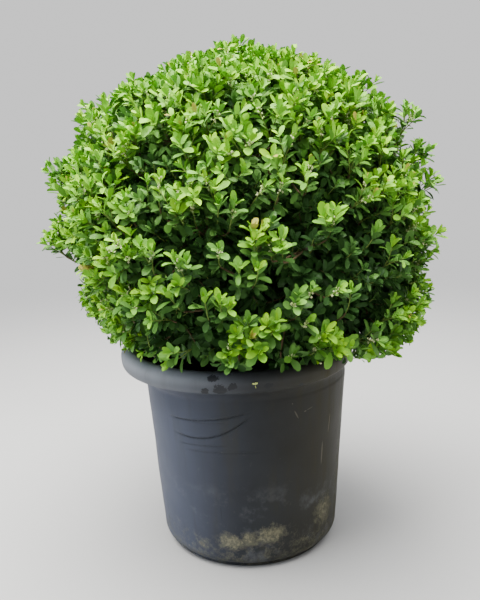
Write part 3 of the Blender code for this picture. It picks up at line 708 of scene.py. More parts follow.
def pot_finish():
    """Matt moulded plastic, with painted light on its left side and band, a painted highlight on
    its rolled edge, painted shade in its creases, dust, splashed mud, smudges and scuffs.
    """
    made = Finish("pot_plastic", {"Specular IOR Level": 0.18})
    place = made.place()
    cloud = made.noise(place, 9.0, 5.0, 0.55)
    fine = made.noise(place, 260.0, 6.0, 0.7)
    streak = made.noise(place, 60.0, 5.0, 0.6, stretch=(1.0, 1.0, 0.10))
    side, up = (made.node("ShaderNodeSeparateXYZ", None, {0: place}, axis) for axis in (0, 2))
    # 1 on the left side, where the colour is painted lighter, as painted light from that side
    left = 1.0 - side.between(*PAINTED_LIGHT_SIDE)
    # 1 on the right side, which is laid browner
    right = side.between(*BROWNER_SIDE)
    rim = up.between(*BAND_START)
    roll = up.between(*ROLL_START) * (cloud * 0.5 + 0.75)

    # Bare plastic, with painted light on the left of its wall and on its band, and a painted
    # highlight on its rolled edge
    made.base(cloud.between(0.35, 0.68), *PLASTIC)
    made.lay(left * (0.64 + 0.3 * cloud), PAINTED_LIGHT_WALL)
    made.lay(rim * (0.08 + 0.74 * left), PAINTED_LIGHT_BAND)
    made.lay(roll * (0.06 + 0.50 * left), PAINTED_HIGHLIGHT_ROLL)

    # Brown film, browner towards the right, haze near the foot, pale specks, and painted shade in
    # the creases and on the mould line
    film = streak.between(0.48, 0.72) * (0.20 + 0.30 * cloud.between(0.3, 0.7) + 0.50 * right)
    made.lay(right * (0.45 + 0.30 * rim) + film * 0.45, BROWN_FILM)
    haze = made.noise(place, 26.0, 7.0, 0.66).between(0.50, 0.72)
    made.lay(haze * (1.0 - up.between(*HAZE_END)) * 0.28, PALE_HAZE)
    made.lay(fine.between(0.67, 0.78) * 0.40, DUST)
    scar = mark(made, place, *SCAR).between(0.0, 0.7)
    # painted shade: creases and the mould line are darkened
    made.lay(pressed(made).clamped() * 0.66 + scar * 0.5, CREASE_SHADE)

    # Mud, thin and thick
    mud = reduce(Wire.larger, [mark(made, place, *where) * weight for *where, weight in MUD])
    mud = mud.larger((1.0 - up.between(*SPLASH_END)) * 0.50)
    thin = (made.noise(place, 95.0, 10.0, 0.76) + mud * 0.36).between(0.60, 0.86)
    thick = (made.noise(place, 210.0, 8.0, 0.74) + mud * 0.30).between(0.72, 0.86)
    made.lay(thin * 0.45, THIN_MUD)
    made.lay(thick * 0.38, THICK_MUD)
    mud = thin.larger(thick)

    # Damp smudges on the rim, and scuffs
    damp = [mark(made, place, *where, RIM_RADIUS, RIM_SHIFT) for where in SMUDGES]
    blot = made.noise(place, 190.0, 6.0, 0.7)
    damp = (blot + reduce(Wire.larger, damp) * 0.50).between(0.73, 0.81)
    made.lay(damp * 0.9, DAMP)
    scuff = [mark(made, place, *where).between(0.0, 0.6) for where in SCUFFS]
    scuff = reduce(Wire.larger, scuff)
    made.lay(scuff * 0.28, SCUFFED)

    made.feed("Roughness", 0.50 + 0.10 * cloud + 0.30 * mud + 0.12 * film - 0.14 * damp)
    height = fine * 0.35 + made.noise(place, 1200.0, 3.0) * 0.25 + mud * 1.2 - scuff * 0.6
    made.bump(height, 0.00035, 0.7)
    return made.material


def compost_finish():
    made = Finish("potting_compost")
    place = made.place()
    clod = made.noise(place, 120.0, 8.0, 0.65)
    fibre = made.noise(place, 420.0, 4.0, 0.6, stretch=(1.0, 0.25, 0.6))
    made.base(clod.between(0.35, 0.70), *EARTH)
    made.lay(fibre.between(0.60, 0.72) * 0.6, FIBRE)
    made.feed("Roughness", 0.82 + 0.15 * clod)
    made.bump(clod + fibre * 0.5, 0.0012)
    return made.material


def bark_finish():
    made = Finish("grey_bark")
    place = made.place()
    plate = made.noise(place, 150.0, 7.0, 0.62, stretch=(1.0, 1.0, 0.28))
    lichen = made.noise(place, 60.0, 6.0, 0.7)
    made.base(plate.between(0.34, 0.66), *BARK)
    made.lay(lichen.between(0.58, 0.70) * 0.45, LICHEN)
    made.feed("Roughness", 0.74 + 0.20 * plate)
    made.bump(plate, 0.0010)
    return made.material


# Name, base colour and roughness of each leaf tint, from the youngest to the innermost
# The darkest tints, shade and inner, go to sunk and inner leaves: partly their own older colour,
# partly painted shade
LEAF_TINTS = (
    ("leaf_warm_tip", (0.310, 0.290, 0.050), 0.38),
    ("leaf_yellow_tip", (0.240, 0.480, 0.014), 0.35),
    ("leaf_lime", (0.192, 0.434, 0.018), 0.33),
    ("leaf_spring", (0.164, 0.390, 0.029), 0.31),
    ("leaf_fresh", (0.137, 0.330, 0.040), 0.30),
    ("leaf_green", (0.108, 0.264, 0.043), 0.29),
    ("leaf_grass", (0.084, 0.200, 0.037), 0.28),
    ("leaf_bottle", (0.058, 0.140, 0.029), 0.28),
    ("leaf_shade", (0.038, 0.098, 0.022), 0.30),
    ("leaf_inner", (0.024, 0.065, 0.016), 0.34),
)
TINT = {name.removeprefix("leaf_"): number for number, (name, _, _) in enumerate(LEAF_TINTS)}
TWIG_TINTS = (
    ("twig_green", (0.160, 0.230, 0.050), 0.50),
    ("twig_brown", (0.105, 0.075, 0.040), 0.65),
    ("twig_grey", (0.090, 0.078, 0.060), 0.75),
)
BUD_TINTS = (
    ("bud_cream", (0.640, 0.680, 0.360), 0.50),
    ("bud_green", (0.400, 0.520, 0.160), 0.50),
)


def plain_finishes(tints):
    """Plain colours, to be dealt out by spray over a joined mesh."""
    return [
        Finish(
            name, {"Base Color": colour, "Roughness": roughness, "Specular IOR Level": 0.07}
        ).material
        for name, colour, roughness in tints
    ]


# Pot -------------------------------------------------------------------------------


def arc(across, up, wide, tall, degrees):
    """Points of an arc about the point (across, up)."""
    turns = [math.radians(angle) for angle in degrees]
    return [(across + wide * math.cos(turn), up + tall * math.sin(turn)) for turn in turns]


def pot_profile():
    """Radius, height and how far the wall's creases show, from the middle of the floor up
    the inside, over the rim and down the outside to the middle of the underside."""
    roll = RIM_BAND / 2
    inner, low = RIM_RADIUS - roll, POT_HEIGHT - RIM_BAND
    heights = np.linspace(POT_FLOOR + 0.012, SOIL_TOP - SOIL_FALL, 14)
    start = [
        (0.0, POT_FLOOR),
        (FOOT_RADIUS - 0.004, POT_FLOOR),
        *[(wall_radius(z) - POT_WALL, z) for z in heights],
        (WALL_TOP_RADIUS - 0.0012, POT_HEIGHT - 0.012),
        (inner - 0.0095, POT_HEIGHT - 0.0055),
        (inner - 0.0080, POT_HEIGHT - 0.0022),
        *arc(inner, POT_HEIGHT - roll, roll, roll, range(118, -1, -9)),
        *[(RIM_RADIUS - inwards, low + rise) for inwards, rise in BAND_OUTLINE],
        *[(WALL_TOP_RADIUS + out, WALL_TOP_Z + rise) for out, rise in NECK_OUTLINE],
    ]
    fine = np.arange(WALL_TOP_Z, CREASED_DOWN_TO, -0.0012)
    wall = [(wall_radius(z), z) for z in (*fine, *np.linspace(CREASED_DOWN_TO, WALL_FOOT_Z, 44))]
    wide, tall = FOOT_BEND
    foot = [
        *arc(WALL_FOOT_RADIUS - wide, WALL_FOOT_Z, wide, -tall, range(12, 91, 13)),
        *[(FOOT_RADIUS + out, height) for out, height in FOOT_OUTLINE],
        (0.0, 0.0),
    ]
    outer = [0.0] * len(start) + [1.0] * len(wall) + [0.0] * len(foot)
    return np.array(start + wall + foot), np.array(outer)[:, None]


def pot_azimuths():
    """Turns round the pot, closer together where the creases are."""
    fine = np.arange(CREASED_FROM, CREASED_TO, 0.45)
    coarse = np.linspace(CREASED_TO, CREASED_FROM + 360, 150, endpoint=False)
    return np.radians(np.concatenate([fine, coarse]))


def crease_depth(turns, heights):
    """How deep the wall is pressed in at these turns and heights."""
    around = np.degrees(turns)
    total = np.zeros(np.broadcast(around, heights).shape)
    fade_in, fade_out = CREASE_FADES
    swell_width, swell_height = CREASE_SWELL
    for points, width, depth in CREASES:
        azimuths, levels = np.array(points).T
        arc_azimuths = np.linspace(azimuths[0], azimuths[-1], 90)
        bend = np.polyfit(azimuths, levels, 3 if len(points) > 3 else 2)
        line = np.polyval(bend, arc_azimuths)
        nearest = np.full(total.shape, 1.0)
        share = np.zeros(total.shape)
        for number, (azimuth, height) in enumerate(zip(arc_azimuths, line)):
            across = np.radians(around - azimuth) * wall_radius(height)
            away = np.hypot(across, heights - height)
            closer = away < nearest
            nearest = np.where(closer, away, nearest)
            share = np.where(closer, number / (len(line) - 1), share)
        fade = smoothstep(share, *fade_in) * (1 - smoothstep(share, *fade_out))
        over = heights > np.interp(around, arc_azimuths, line)
        groove = np.exp(-(nearest / width) ** 2)
        swell = np.exp(-(nearest / (width * swell_width)) ** 2) * over
        total += depth * fade * (groove - swell_height * swell)
    return total


def make_pot():
    rows, outer = pot_profile()
    turns = pot_azimuths()[None, :]
    radii, heights = rows[:, :1], rows[:, 1:]
    flat = round_axis(radii, turns, heights)
    wobble = waves(flat, 3, *WALL_WOBBLE) * smoothstep(heights, 0.004, 0.05)
    wobble += waves(flat, 4, *WALL_DENTS) * outer
    radii = radii + smoothstep(radii, 0.02, 0.12) * wobble - outer * crease_depth(turns, heights)
    ways = np.stack([np.cos(turns), np.sin(turns)], -1)
    sway = smoothstep(heights, 0.27, 0.296) * waves(ways, 5, *RIM_SWAY)
    points = round_axis(radii, turns, np.minimum(heights + sway, POT_HEIGHT))
    points[..., 0] += RIM_SHIFT * smoothstep(
        heights, WALL_TOP_Z - 0.004, POT_HEIGHT - RIM_BAND + 0.004
    )
    corners = np.concatenate(
        [points[1:-1].reshape(-1, 3), [points[0].mean(0), points[-1].mean(0)]]
    )
    faces = capped_faces(len(rows) - 2, turns.size)
    pot = plain_mesh("nursery_pot", corners, faces, [pot_finish()])
    drill_pot(pot)
    keep_creases(pot.data)
    pot.data.set_sharp_from_angle(angle=math.radians(50))
    dress(pot, "pot", "pot")


def keep_creases(mesh):
    """Keep on the mesh how deep each corner is pressed in, for the painted shade in the creases.
    """
    places = np.empty(len(mesh.vertices) * 3, dtype=np.float32)
    mesh.vertices.foreach_get("co", places)
    x, y, z = places.reshape(-1, 3).astype(float).T
    turns = np.arctan2(y, x)
    outer = (np.hypot(x, y) > wall_radius(z) - POT_WALL * 0.95) & (z < WALL_TOP_Z - 0.002)
    depth = np.zeros(len(z))
    depth[outer] = crease_depth(turns[outer], z[outer])
    kept = mesh.attributes.new("pressed", "FLOAT", "POINT")
    kept.data.foreach_set("value", np.clip(depth / FULL_SHADE_CREASE, 0, 1).astype(np.float32))


def drill_pot(pot):
    """Drain holes through the floor."""
    turns = 2 * math.pi * (np.arange(DRAIN_HOLES) + 0.5) / DRAIN_HOLES
    lines = np.stack([round_axis(DRAIN_CIRCLE, turns, z) for z in (-0.01, 0.002, 0.014)], 1)
    cutter = joined("drills", [], (tube_points(lines, DRAIN_RADIUS, 28), tube_faces(3, 28)))
    cut = pot.modifiers.new("drain", "BOOLEAN")
    cut.object = cutter
    cut.operation = "DIFFERENCE"
    cut.solver = "MANIFOLD"
    bpy.context.view_layer.update()
    graph = bpy.context.evaluated_depsgraph_get()
    drilled = bpy.data.meshes.new_from_object(pot.evaluated_get(graph))
    pot.modifiers.clear()
    pot.data = drilled
    drilled.name = "nursery_pot"
    bpy.data.objects.remove(cutter)


# Compost ---------------------------------------------------------------------------

# An eight-sided bead, for crumbs and buds
BEAD = np.array([(1, 0, 0), (-1, 0, 0), (0, 1, 0), (0, -1, 0), (0, 0, 1), (0, 0, -1)], float)
BEAD_FACES = np.array(
    [(0, 2, 4), (2, 1, 4), (1, 3, 4), (3, 0, 4), (2, 0, 5), (1, 2, 5), (3, 1, 5), (0, 3, 5)]
)


def inner_wall(heights):
    return wall_radius(heights) - POT_WALL - CLEAR * 1.3


def soil_ground(edge):
    """Corners and triangles of the compost: its crumbly top, and its side down the pot."""
    shares = np.linspace(0.02, 1, 56)
    bottom = POT_FLOOR + CLEAR
    rows = np.array([
        *[(share * edge, SOIL_TOP - SOIL_FALL * share**2) for share in shares],
        *[(inner_wall(z), z) for z in (0.24, 0.15, 0.06, POT_FLOOR + 0.014)],
        (FOOT_RADIUS - 0.006, bottom),
    ])
    columns = 150
    points = round_axis(rows[:, :1], full_turn(columns)[None, :], rows[:, 1:])
    top = slice(0, len(shares))
    level = points[top, :, :2]
    crumble = waves(level, 7, *COARSE_SOIL) + waves(level, 8, *FINE_SOIL) - COARSE_SOIL[0]
    crumble *= smoothstep(np.hypot(level[..., 0], level[..., 1]), 0.030, 0.045)
    points[top, :, 2] += crumble
    corners = np.concatenate([points.reshape(-1, 3), [(0, 0, SOIL_TOP), (0, 0, bottom)]])
    return corners[None], capped_faces(len(rows), columns)


def make_compost():
    edge = inner_wall(SOIL_TOP - SOIL_FALL) - 0.001
    ground = soil_ground(edge)
    away = np.sqrt(dice.uniform(0.05, 0.92, CRUMBS)) * edge
    turn = dice.uniform(0, 2 * math.pi, CRUMBS)
    size = dice.uniform(*CRUMB_SIZES, CRUMBS)
    spots = round_axis(away, turn, SOIL_TOP - SOIL_FALL * (away / edge) ** 2 - 0.0006)
    shape = BEAD[None] * dice.uniform(0.45, 1.15, (CRUMBS, 6, 1)) * size[:, None, None]
    shape = shape * dice.uniform((0.5, 0.5, 0.3), (1.6, 1.6, 0.9), (CRUMBS, 3))[:, None, :]
    spin = dice.uniform(0, 2 * math.pi, CRUMBS)[:, None]
    cos, sin = np.cos(spin), np.sin(spin)
    x, y, z = np.moveaxis(shape, -1, 0)
    crumbs = np.stack([x * cos - y * sin, x * sin + y * cos, z], -1) + spots[:, None]
    compost = joined("crumbly_compost", [compost_finish()], ground, (crumbs, BEAD_FACES))
    compost.data.set_sharp_from_angle(angle=math.radians(40))
    dress(compost, "compost", "soil")


# Stem and boughs -------------------------------------------------------------------


def stem_axis(height):
    share = (height - SOIL_TOP) / (STEM_TOP - SOIL_TOP)
    lean = share * share
    bend = STEM_BEND * np.sin(math.pi * share) ** 2
    return np.stack([STEM_LEAN[0] * lean + bend, STEM_LEAN[1] * lean - bend, height], -1)


def make_stem(finish):
    """The short stem, with its root flare and furrowed bark."""
    sides, rings = 56, 84
    foot = SOIL_TOP + CLEAR
    heights = foot + (STEM_TOP - foot) * np.linspace(0, 1, rings) ** 1.3
    share = (heights - SOIL_TOP) / (STEM_TOP - SOIL_TOP)
    radii = STEM_WAIST_RADIUS + (STEM_HEAD_RADIUS - STEM_WAIST_RADIUS) * share
    flare = np.exp(-(heights - SOIL_TOP) / (FLARE_HEIGHT * 0.4))
    radii = radii + (STEM_FOOT_RADIUS - STEM_WAIST_RADIUS) * flare
    turns = full_turn(sides)[None]
    fade = np.exp(-(heights - foot) / (FLARE_HEIGHT * 0.5))[:, None]
    pinch = FLARE_DEPTH * fade * (0.5 - 0.5 * np.cos(FLARE_LOBES * turns))
    around = round_axis(1.0, turns, heights[:, None] * 14)
    bark = waves(around * (3, 3, 1), 11, 0.05, 2.0) + waves(around * (7, 7, 2), 12, 0.03, 2.0)
    grown = radii[:, None] * (1 - pinch) * (1 + bark * 0.8 - 0.02)
    points = stem_axis(heights)[:, None] + round_axis(grown, turns, 0.0)
    stem = joined("barked_stem", [finish], (points.reshape(1, -1, 3), tube_faces(rings, sides)))
    dress(stem, "bark", "stem")


def plan_masses():
    """Name, ring, rank and axis of each mass of the ball."""
    masses = []
    for ring, count, start, end in RINGS:
        width = 2 * math.pi / count
        polar = (start + end) / 2 if count > 1 else 0
        for number in range(count):
            name = ring if count == 1 else f"{ring}_{number + 1}"
            axis = polar_direction(math.degrees(width / 3 + width * number), 90 - polar)
            masses.append({"name": name, "ring": ring, "rank": number % 2, "axis": axis})
    return masses


def mass_of(directions):
    """Number of the mass that each direction lies in, or -1 below the ball's skirt."""
    polar = 90 - elevation_of(directions)
    (_, _, _, top_end), (_, count, _, lowest) = RINGS
    width = 2 * math.pi / count
    turn = np.radians(azimuth_of(directions)) - width / 3
    side = 1 + np.round(turn / width).astype(int) % count
    return np.where(polar > lowest, -1, np.where(polar < top_end, 0, side))


def make_bough(mass, finish):
    """One tapering limb with furrowed bark; returns its middle line."""
    steps, sides = 44, 20
    ring, rank, name = mass["ring"], mass["rank"], mass["name"]
    root = stem_axis(np.array(min(BOUGH_ROOT_Z[ring] + BOUGH_STAGGER * rank, STEM_TOP - 0.004)))
    tip = BALL_CENTRE + mass["axis"] * BOUGH_END
    outward = unit((tip - root) * (1, 1, 0))
    start = UP if ring == "top" else unit(outward * 0.8 + UP * 0.6)
    share = np.linspace(0, 1, steps)[:, None]
    pull = root + start * (np.linalg.norm(tip - root) * 0.5)
    line = root * (1 - share) ** 2 + pull * 2 * share * (1 - share) + tip * share**2
    if ring == "side":
        line[:, 2:] -= BOUGH_SAG * np.sin(math.pi * share)
    kinks = np.stack([waves(line, 30 + rank + axis, *BOUGH_KINK) for axis in range(3)], -1)
    line = line + np.sin(math.pi * share) * kinks
    first = BOUGH_ROOT_RADIUS[ring]
    radii = first + (BOUGH_TIP_RADIUS - first) * share[:, 0]
    points = tube_points(line[None], radii, sides)[0]
    middle = np.repeat(line, sides, axis=0)
    relief = 0.95 + waves(points * (1, 1, 0.4), 41, 0.10, 0.006)
    points = middle + (points - middle) * relief[:, None]
    bough = joined(f"limb_{name}", [finish], (points[None], tube_faces(steps, sides)))
    dress(bough, "bark", f"bough_{name}")
    return line


# The ball's surface ----------------------------------------------------------------


def surface_radius(directions):
    """Distance from the middle of the ball to its clipped surface, these ways."""
    radius = np.full(directions.shape[:-1], BALL_RADIUS)
    for azimuth, elevation, width, height in LUMPS:
        middle = polar_direction(azimuth, elevation)
        cosine = np.clip(directions @ middle, -1, 1)
        away = np.degrees(np.arccos(cosine)) / width
        radius = radius + height * np.exp(-away * away)
    return radius


def seeded_hollows():
    """The named hollows in front, and more of the same kind round the rest of the ball."""
    found = list(HOLLOWS)
    chance = np.random.default_rng(SEED + 1)
    while len(found) < len(HOLLOWS) + MORE_HOLLOWS:
        azimuth, elevation = chance.uniform(-5, 185), chance.uniform(-27, 44)
        others = polar_direction([item[0] for item in found], [item[1] for item in found])
        nearest = np.max(others @ polar_direction(azimuth, elevation))
        if nearest <= math.cos(math.radians(HOLLOW_ROOM)):
            wide, tall = chance.uniform(4, 9), chance.uniform(3, 5)
            found.append((azimuth, elevation, wide, tall, chance.uniform(0.026, 0.050)))
    return np.array(found)


def sunk(directions, hollows):
    """How deep the surface is sunk by its hollows, these ways."""
    around, rise = azimuth_of(directions), elevation_of(directions)
    deepest = np.zeros(len(directions))
    for azimuth, elevation, wide, tall, depth in hollows:
        across = (around - azimuth + 180) % 360 - 180
        across = across * np.cos(np.radians(rise)) / wide
        above = (rise - elevation) / tall
        deepest = np.maximum(deepest, depth * np.exp(-(across**2 + above**2) * 0.8))
    return deepest


def in_place(points, margin=0.002):
    """True where points are over the ball's lower edge and clear of the rim and compost."""
    away = points - BALL_CENTRE
    edge = np.radians(by_angle(azimuth_of(away), SKIRT))
    surface = surface_radius(unit(away))
    level = np.hypot(points[..., 0] - RIM_SHIFT, points[..., 1])
    out = RIM_RADIUS + 0.004
    share = np.clip((level - out) / np.maximum(surface * np.cos(edge) - out, 0.02), 0, 1)
    lowest = POT_HEIGHT + (BALL_CENTRE[2] + surface * np.sin(edge) - POT_HEIGHT) * share
    lowest = np.where(level < RIM_RADIUS - RIM_BAND, SOIL_TOP + 0.008, lowest + margin)
    return points[..., 2] > lowest


def free_reach(directions, margin=0.002):
    """How far a shoot may grow these ways: to the clipped surface, or to the lower edge."""
    steps = np.linspace(0.06, 0.30, 49)
    points = BALL_CENTRE + directions[:, None] * steps[None, :, None]
    free = np.logical_and.accumulate(in_place(points, margin), axis=1)
    limit = steps[np.maximum(free.sum(axis=1) - 1, 0)]
    return np.minimum(surface_radius(directions), limit)


# Leaves ----------------------------------------------------------------------------

# Stations along a leaf and its half width there, as shares of its length and width
FULL_LEAF = ((0.14, 0.17), (0.42, 0.44), (0.71, 0.50), (0.93, 0.29))
PLAIN_LEAF = ((0.24, 0.28), (0.60, 0.50), (0.88, 0.34))
ROUGH_LEAF = ((0.36, 0.44), (0.80, 0.42))


def leaf_faces(stations):
    """Triangles of a leaf: root, then three corners at each station, then the tip."""
    faces = [(0, 1, 2), (0, 2, 3)]
    for station in range(stations - 1):
        low, mid, high = (1 + 3 * station + side for side in range(3))
        faces += [(low, low + 3, mid + 3), (low, mid + 3, mid),
                  (mid, mid + 3, high + 3), (mid, high + 3, high)]
    low, mid, high = (3 * stations - 2 + side for side in range(3))
    tip = 3 * stations + 1
    return faces + [(low, tip, mid), (mid, tip, high)]


def leaf_points(leaves, outline):
    """Corners (n, v, 3) of leaves from their roots, headings, faces and sizes."""
    along, half = (np.array(column)[None, :, None] for column in zip(*outline))
    root, ahead, face = (leaves[key][:, None] for key in ("root", "ahead", "face"))
    length, width, curl, cup = (
        leaves[key][:, None, None] for key in ("length", "width", "curl", "cup")
    )
    across = np.cross(ahead, face)

    def midrib(share):
        turn = curl * share
        lift = -turn * share / 2
        return root + length * (ahead * (share - turn**2 * share / 6) + face * lift)

    turn = curl * along
    normal = face * np.cos(turn) + ahead * np.sin(turn)
    middle = midrib(along)
    out, up = half * width * np.cos(cup), half * width * np.sin(cup)
    low, high = middle + across * out + normal * up, middle - across * out + normal * up
    body = np.stack([low, middle, high], axis=2).reshape(len(root), -1, 3)
    return np.concatenate([root, body, midrib(np.ones((1, 1, 1)))], axis=1)


class Leaves:
    """Leaves gathered in batches: roots, headings, faces, sizes, tints and masses."""

    def __init__(self):
        self.batches = []

    def add(self, **batch):
        ahead = unit(batch["ahead"])
        across = unit(np.cross(ahead, batch["face"]))
        self.batches.append(batch | {"ahead": ahead, "face": np.cross(across, ahead)})

    def all(self):
        return {
            key: np.concatenate([batch[key] for batch in self.batches]) for key in self.batches[0]
        }


def pick(share, table):
    """A tint for each share from 0 to 1, by the weights in a table of (weight, tint)."""
    weights, tints = zip(*table)
    edges = np.cumsum(weights)
    return np.array([TINT[tint] for tint in tints])[np.searchsorted(edges / edges[-1], share)]


def pairs_on(leaves, lines, pairs, tint, mass, vigour, light, row, rows):
    """Opposite pairs of leaves along lines (n, p, 3), each pair turned a quarter from the
    last. tint has a row for each pair. light is how much the blades turn up to the sky.
    Each line takes its own row out of so many rows of random numbers."""
    chance = np.random.default_rng(SEED + rows)

    def near(spread, *more):
        return chance.normal(0, spread, (rows, *more))[row]

    def between(low, high):
        return chance.uniform(low, high, rows)[row]

    spin = between(0, math.pi)
    for number, (node, size, tilt) in enumerate(pairs):
        root, ahead = spots_on(lines, node)
        for twin in range(2):
            turn = spin + number * math.pi / 2 + twin * math.pi + near(TURN_SPREAD)
            outward = outward_from(ahead, turn)
            lean = np.radians(tilt + near(LEAN_SPREAD))[:, None]
            way = ahead * np.cos(lean) + outward * np.sin(lean)
            way = way + near(HEADING_SPREAD, 3) + UP * LEAF_RISE
            face = ahead * np.sin(lean) - outward * np.cos(lean)
            face = face + UP * light + near(FACE_SPREAD, 3)
            length = LEAF_LENGTH * size * vigour * between(*LEAF_SIZES)
            kept = between(0, 1) > MISSING_LEAVES
            shade = tint[number] + chance.choice((-1, 0, 0, 0, 1), rows)[row]
            leaves.add(
                root=root[kept],
                ahead=way[kept],
                face=face[kept],
                length=length[kept],
                width=(length * between(*LEAF_WIDTHS))[kept],
                curl=(CURL[0] + near(CURL[1]))[kept],
                cup=(CUP[0] + near(CUP[1]))[kept],
                tint=np.clip(shade, 0, len(LEAF_TINTS) - 1)[kept],
                mass=mass[kept],
            )


# Growth of the ball ----------------------------------------------------------------


def shoot_targets():
    """The source's shoot tips, spread over the clipped surface by the golden turn."""
    chance = random.Random(SEED)
    directions, depths = [], []
    for number in range(SHOOTS):
        height = 1 - 2 * (number + 0.5) / SHOOTS
        turn = GOLDEN_TURN * number + chance.uniform(-0.10, 0.10)
        directions.append(polar_direction(math.degrees(turn), math.degrees(math.asin(height))))
        depths.append(chance.choice((0.0, 0.0, -0.010, 0.006)))
    return np.array(directions), np.array(depths)


def first_twigs(starts, headings):
    """Twigs that branch from each mass's stem towards its shoots' tips."""
    directions, depths = shoot_targets()
    owner = mass_of(directions)
    inside = owner >= 0
    directions, depths, owner = directions[inside], depths[inside], owner[inside]
    reach = free_reach(directions) + depths - FORK_DEPTH
    tips = BALL_CENTRE + directions * reach[:, None]
    up_stem = MASS_STEM_LENGTH * dice.uniform(0.15, 0.95, len(owner))[:, None]
    stems = starts[owner] + headings[owner] * up_stem
    gap = np.linalg.norm(tips - stems, axis=1, keepdims=True)
    leave = unit(headings[owner] + unit(tips - stems) * 1.2) * gap
    arrive = unit(directions + unit(tips - stems)) * gap
    lines = bend_between(stems, leave, tips, arrive, 9)
    wander = np.sin(np.linspace(0, math.pi, 9))[None, :, None] * TWIG_WANDER
    return lines + wander * dice.normal(0, 1, (len(lines), 9, 3)), owner


def row_of(azimuths, elevations):
    """The row of random numbers of each named tuft, by its place, so that a change to one
    tuft leaves the others as they are."""
    place = np.round(np.array(azimuths) * 10) * 31 + np.round(np.array(elevations) * 10) * 17
    return TUFTS + place.astype(int) % SPARE


def open_edge(azimuths):
    """Elevation of the open front's upper edge, far down where there is none."""
    return by_angle(azimuths, OPEN_FRONT, left=-99, right=-99)


def chance_tufts(named, hollows):
    """The tufts that are spread over the ball by chance, clear of the named ones."""
    chance = np.random.default_rng(SEED + 2)
    number = np.arange(TUFTS)
    rise = np.arcsin(1 - 2 * (number + 0.5) / TUFTS)
    ways = polar_direction(np.degrees(GOLDEN_TURN * number), np.degrees(rise))
    ways = unit(ways + chance.normal(0, TUFT_SHAKE, (TUFTS, 3)))
    level = elevation_of(ways)
    open_front = (level < open_edge(azimuth_of(ways))) & (chance.uniform(size=TUFTS) < OPEN_SHARE)
    nearest = np.degrees(np.arccos(np.clip((ways @ named.T).max(axis=1), -1, 1)))
    clear = nearest > np.where(open_front, OPEN_ROOM, NAMED_ROOM)

    depth = sunk(ways, hollows)
    depth = np.where(open_front, np.maximum(depth, chance.uniform(*OPEN_DEPTHS, TUFTS)), depth)
    lost = chance.uniform(size=TUFTS) < by_angle(level, LOST_SHARE)
    depth = np.where(lost, np.maximum(depth, chance.uniform(*LOST_DEPTHS, TUFTS)), depth)
    free = free_reach(ways, 0.003) + chance.normal(0, REACH_SHAKE, TUFTS)
    lit = depth < LIT_DEPTH
    # Sunk tufts, and those in the open front, are dealt darker tints: painted shade
    darker = (depth - LIT_DEPTH) / SHADE_TINT_DEPTH + open_front + chance.uniform(-0.6, 0.6, TUFTS)
    deep_tint = TINT["grass"] + np.clip(np.round(darker), 0, 3).astype(int)
    sites = {
        "row": number,
        "direction": ways,
        "reach": free - TOP_TRIM * smoothstep(level, *TRIMMED_FROM),
        "depth": depth,
        "shoots": np.where(lit, chance.choice((2, 3, 3, 4), TUFTS) + (level > FULL_ABOVE), 2),
        "tint": np.where(lit, -1, deep_tint),
        "size": np.ones(TUFTS),
        "apart": open_front,
        "mass": mass_of(ways),
    }
    return {key: value[clear & (sites["mass"] >= 0)] for key, value in sites.items()}


def tuft_sites(hollows):
    """Every tuft of shoots: its row of random numbers, direction, distance, sunk depth,
    number of shoots, first tint (-1 where chance deals it), size, whether it stands apart,
    and its mass. Those spread by chance come first, then the strays and the named ones."""
    azimuths, elevations, shoots, tints = map(np.array, zip(*FRONT_TUFTS))
    named = polar_direction(azimuths, elevations)
    high = elevations > open_edge(azimuths) + APART_MARGIN
    stray_azimuths, stray_elevations, stray_reach = np.array(STRAYS).T
    strays = len(STRAYS)
    directions = np.array([*polar_direction(stray_azimuths, stray_elevations), *named])
    placed = {
        "row": row_of([*stray_azimuths, *azimuths], [*stray_elevations, *elevations]),
        "direction": directions,
        "reach": [*stray_reach, *np.minimum(surface_radius(named), NAMED_REACH)],
        "depth": np.zeros(len(directions)),
        "shoots": [STRAY_SHOOTS] * strays + [*np.maximum(shoots - ~high, 1)],
        "tint": [-1] * strays + [TINT[tint] for tint in tints],
        "size": [1.0] * strays + [*np.where(high, 1.0, APART_SIZE)],
        "apart": [False] * strays + [*~high],
        "mass": mass_of(directions),
    }
    spread = chance_tufts(named, hollows)
    return {key: np.concatenate([spread[key], placed[key]]) for key in spread}


def join_to(lines, owner, bases, masses):
    """For each base, the nearest point on a line of its own mass, and its heading."""
    steps = lines.shape[1]
    first = int(FORK_FROM * (steps - 1))
    spots = lines[:, first:-1]
    ways = unit(lines[:, first + 1:] - spots)
    spots, ways = spots.reshape(-1, 3), ways.reshape(-1, 3)
    belongs = np.repeat(owner, steps - 1 - first)
    found, heading = np.zeros_like(bases), np.zeros_like(bases)
    for mass in np.unique(masses):
        mine = np.flatnonzero(masses == mass)
        theirs = np.flatnonzero(belongs == mass)
        away = np.linalg.norm(bases[mine, None] - spots[None, theirs], axis=-1)
        near = theirs[np.argmin(away, axis=1)]
        found[mine], heading[mine] = spots[near], ways[near]
    return found, heading


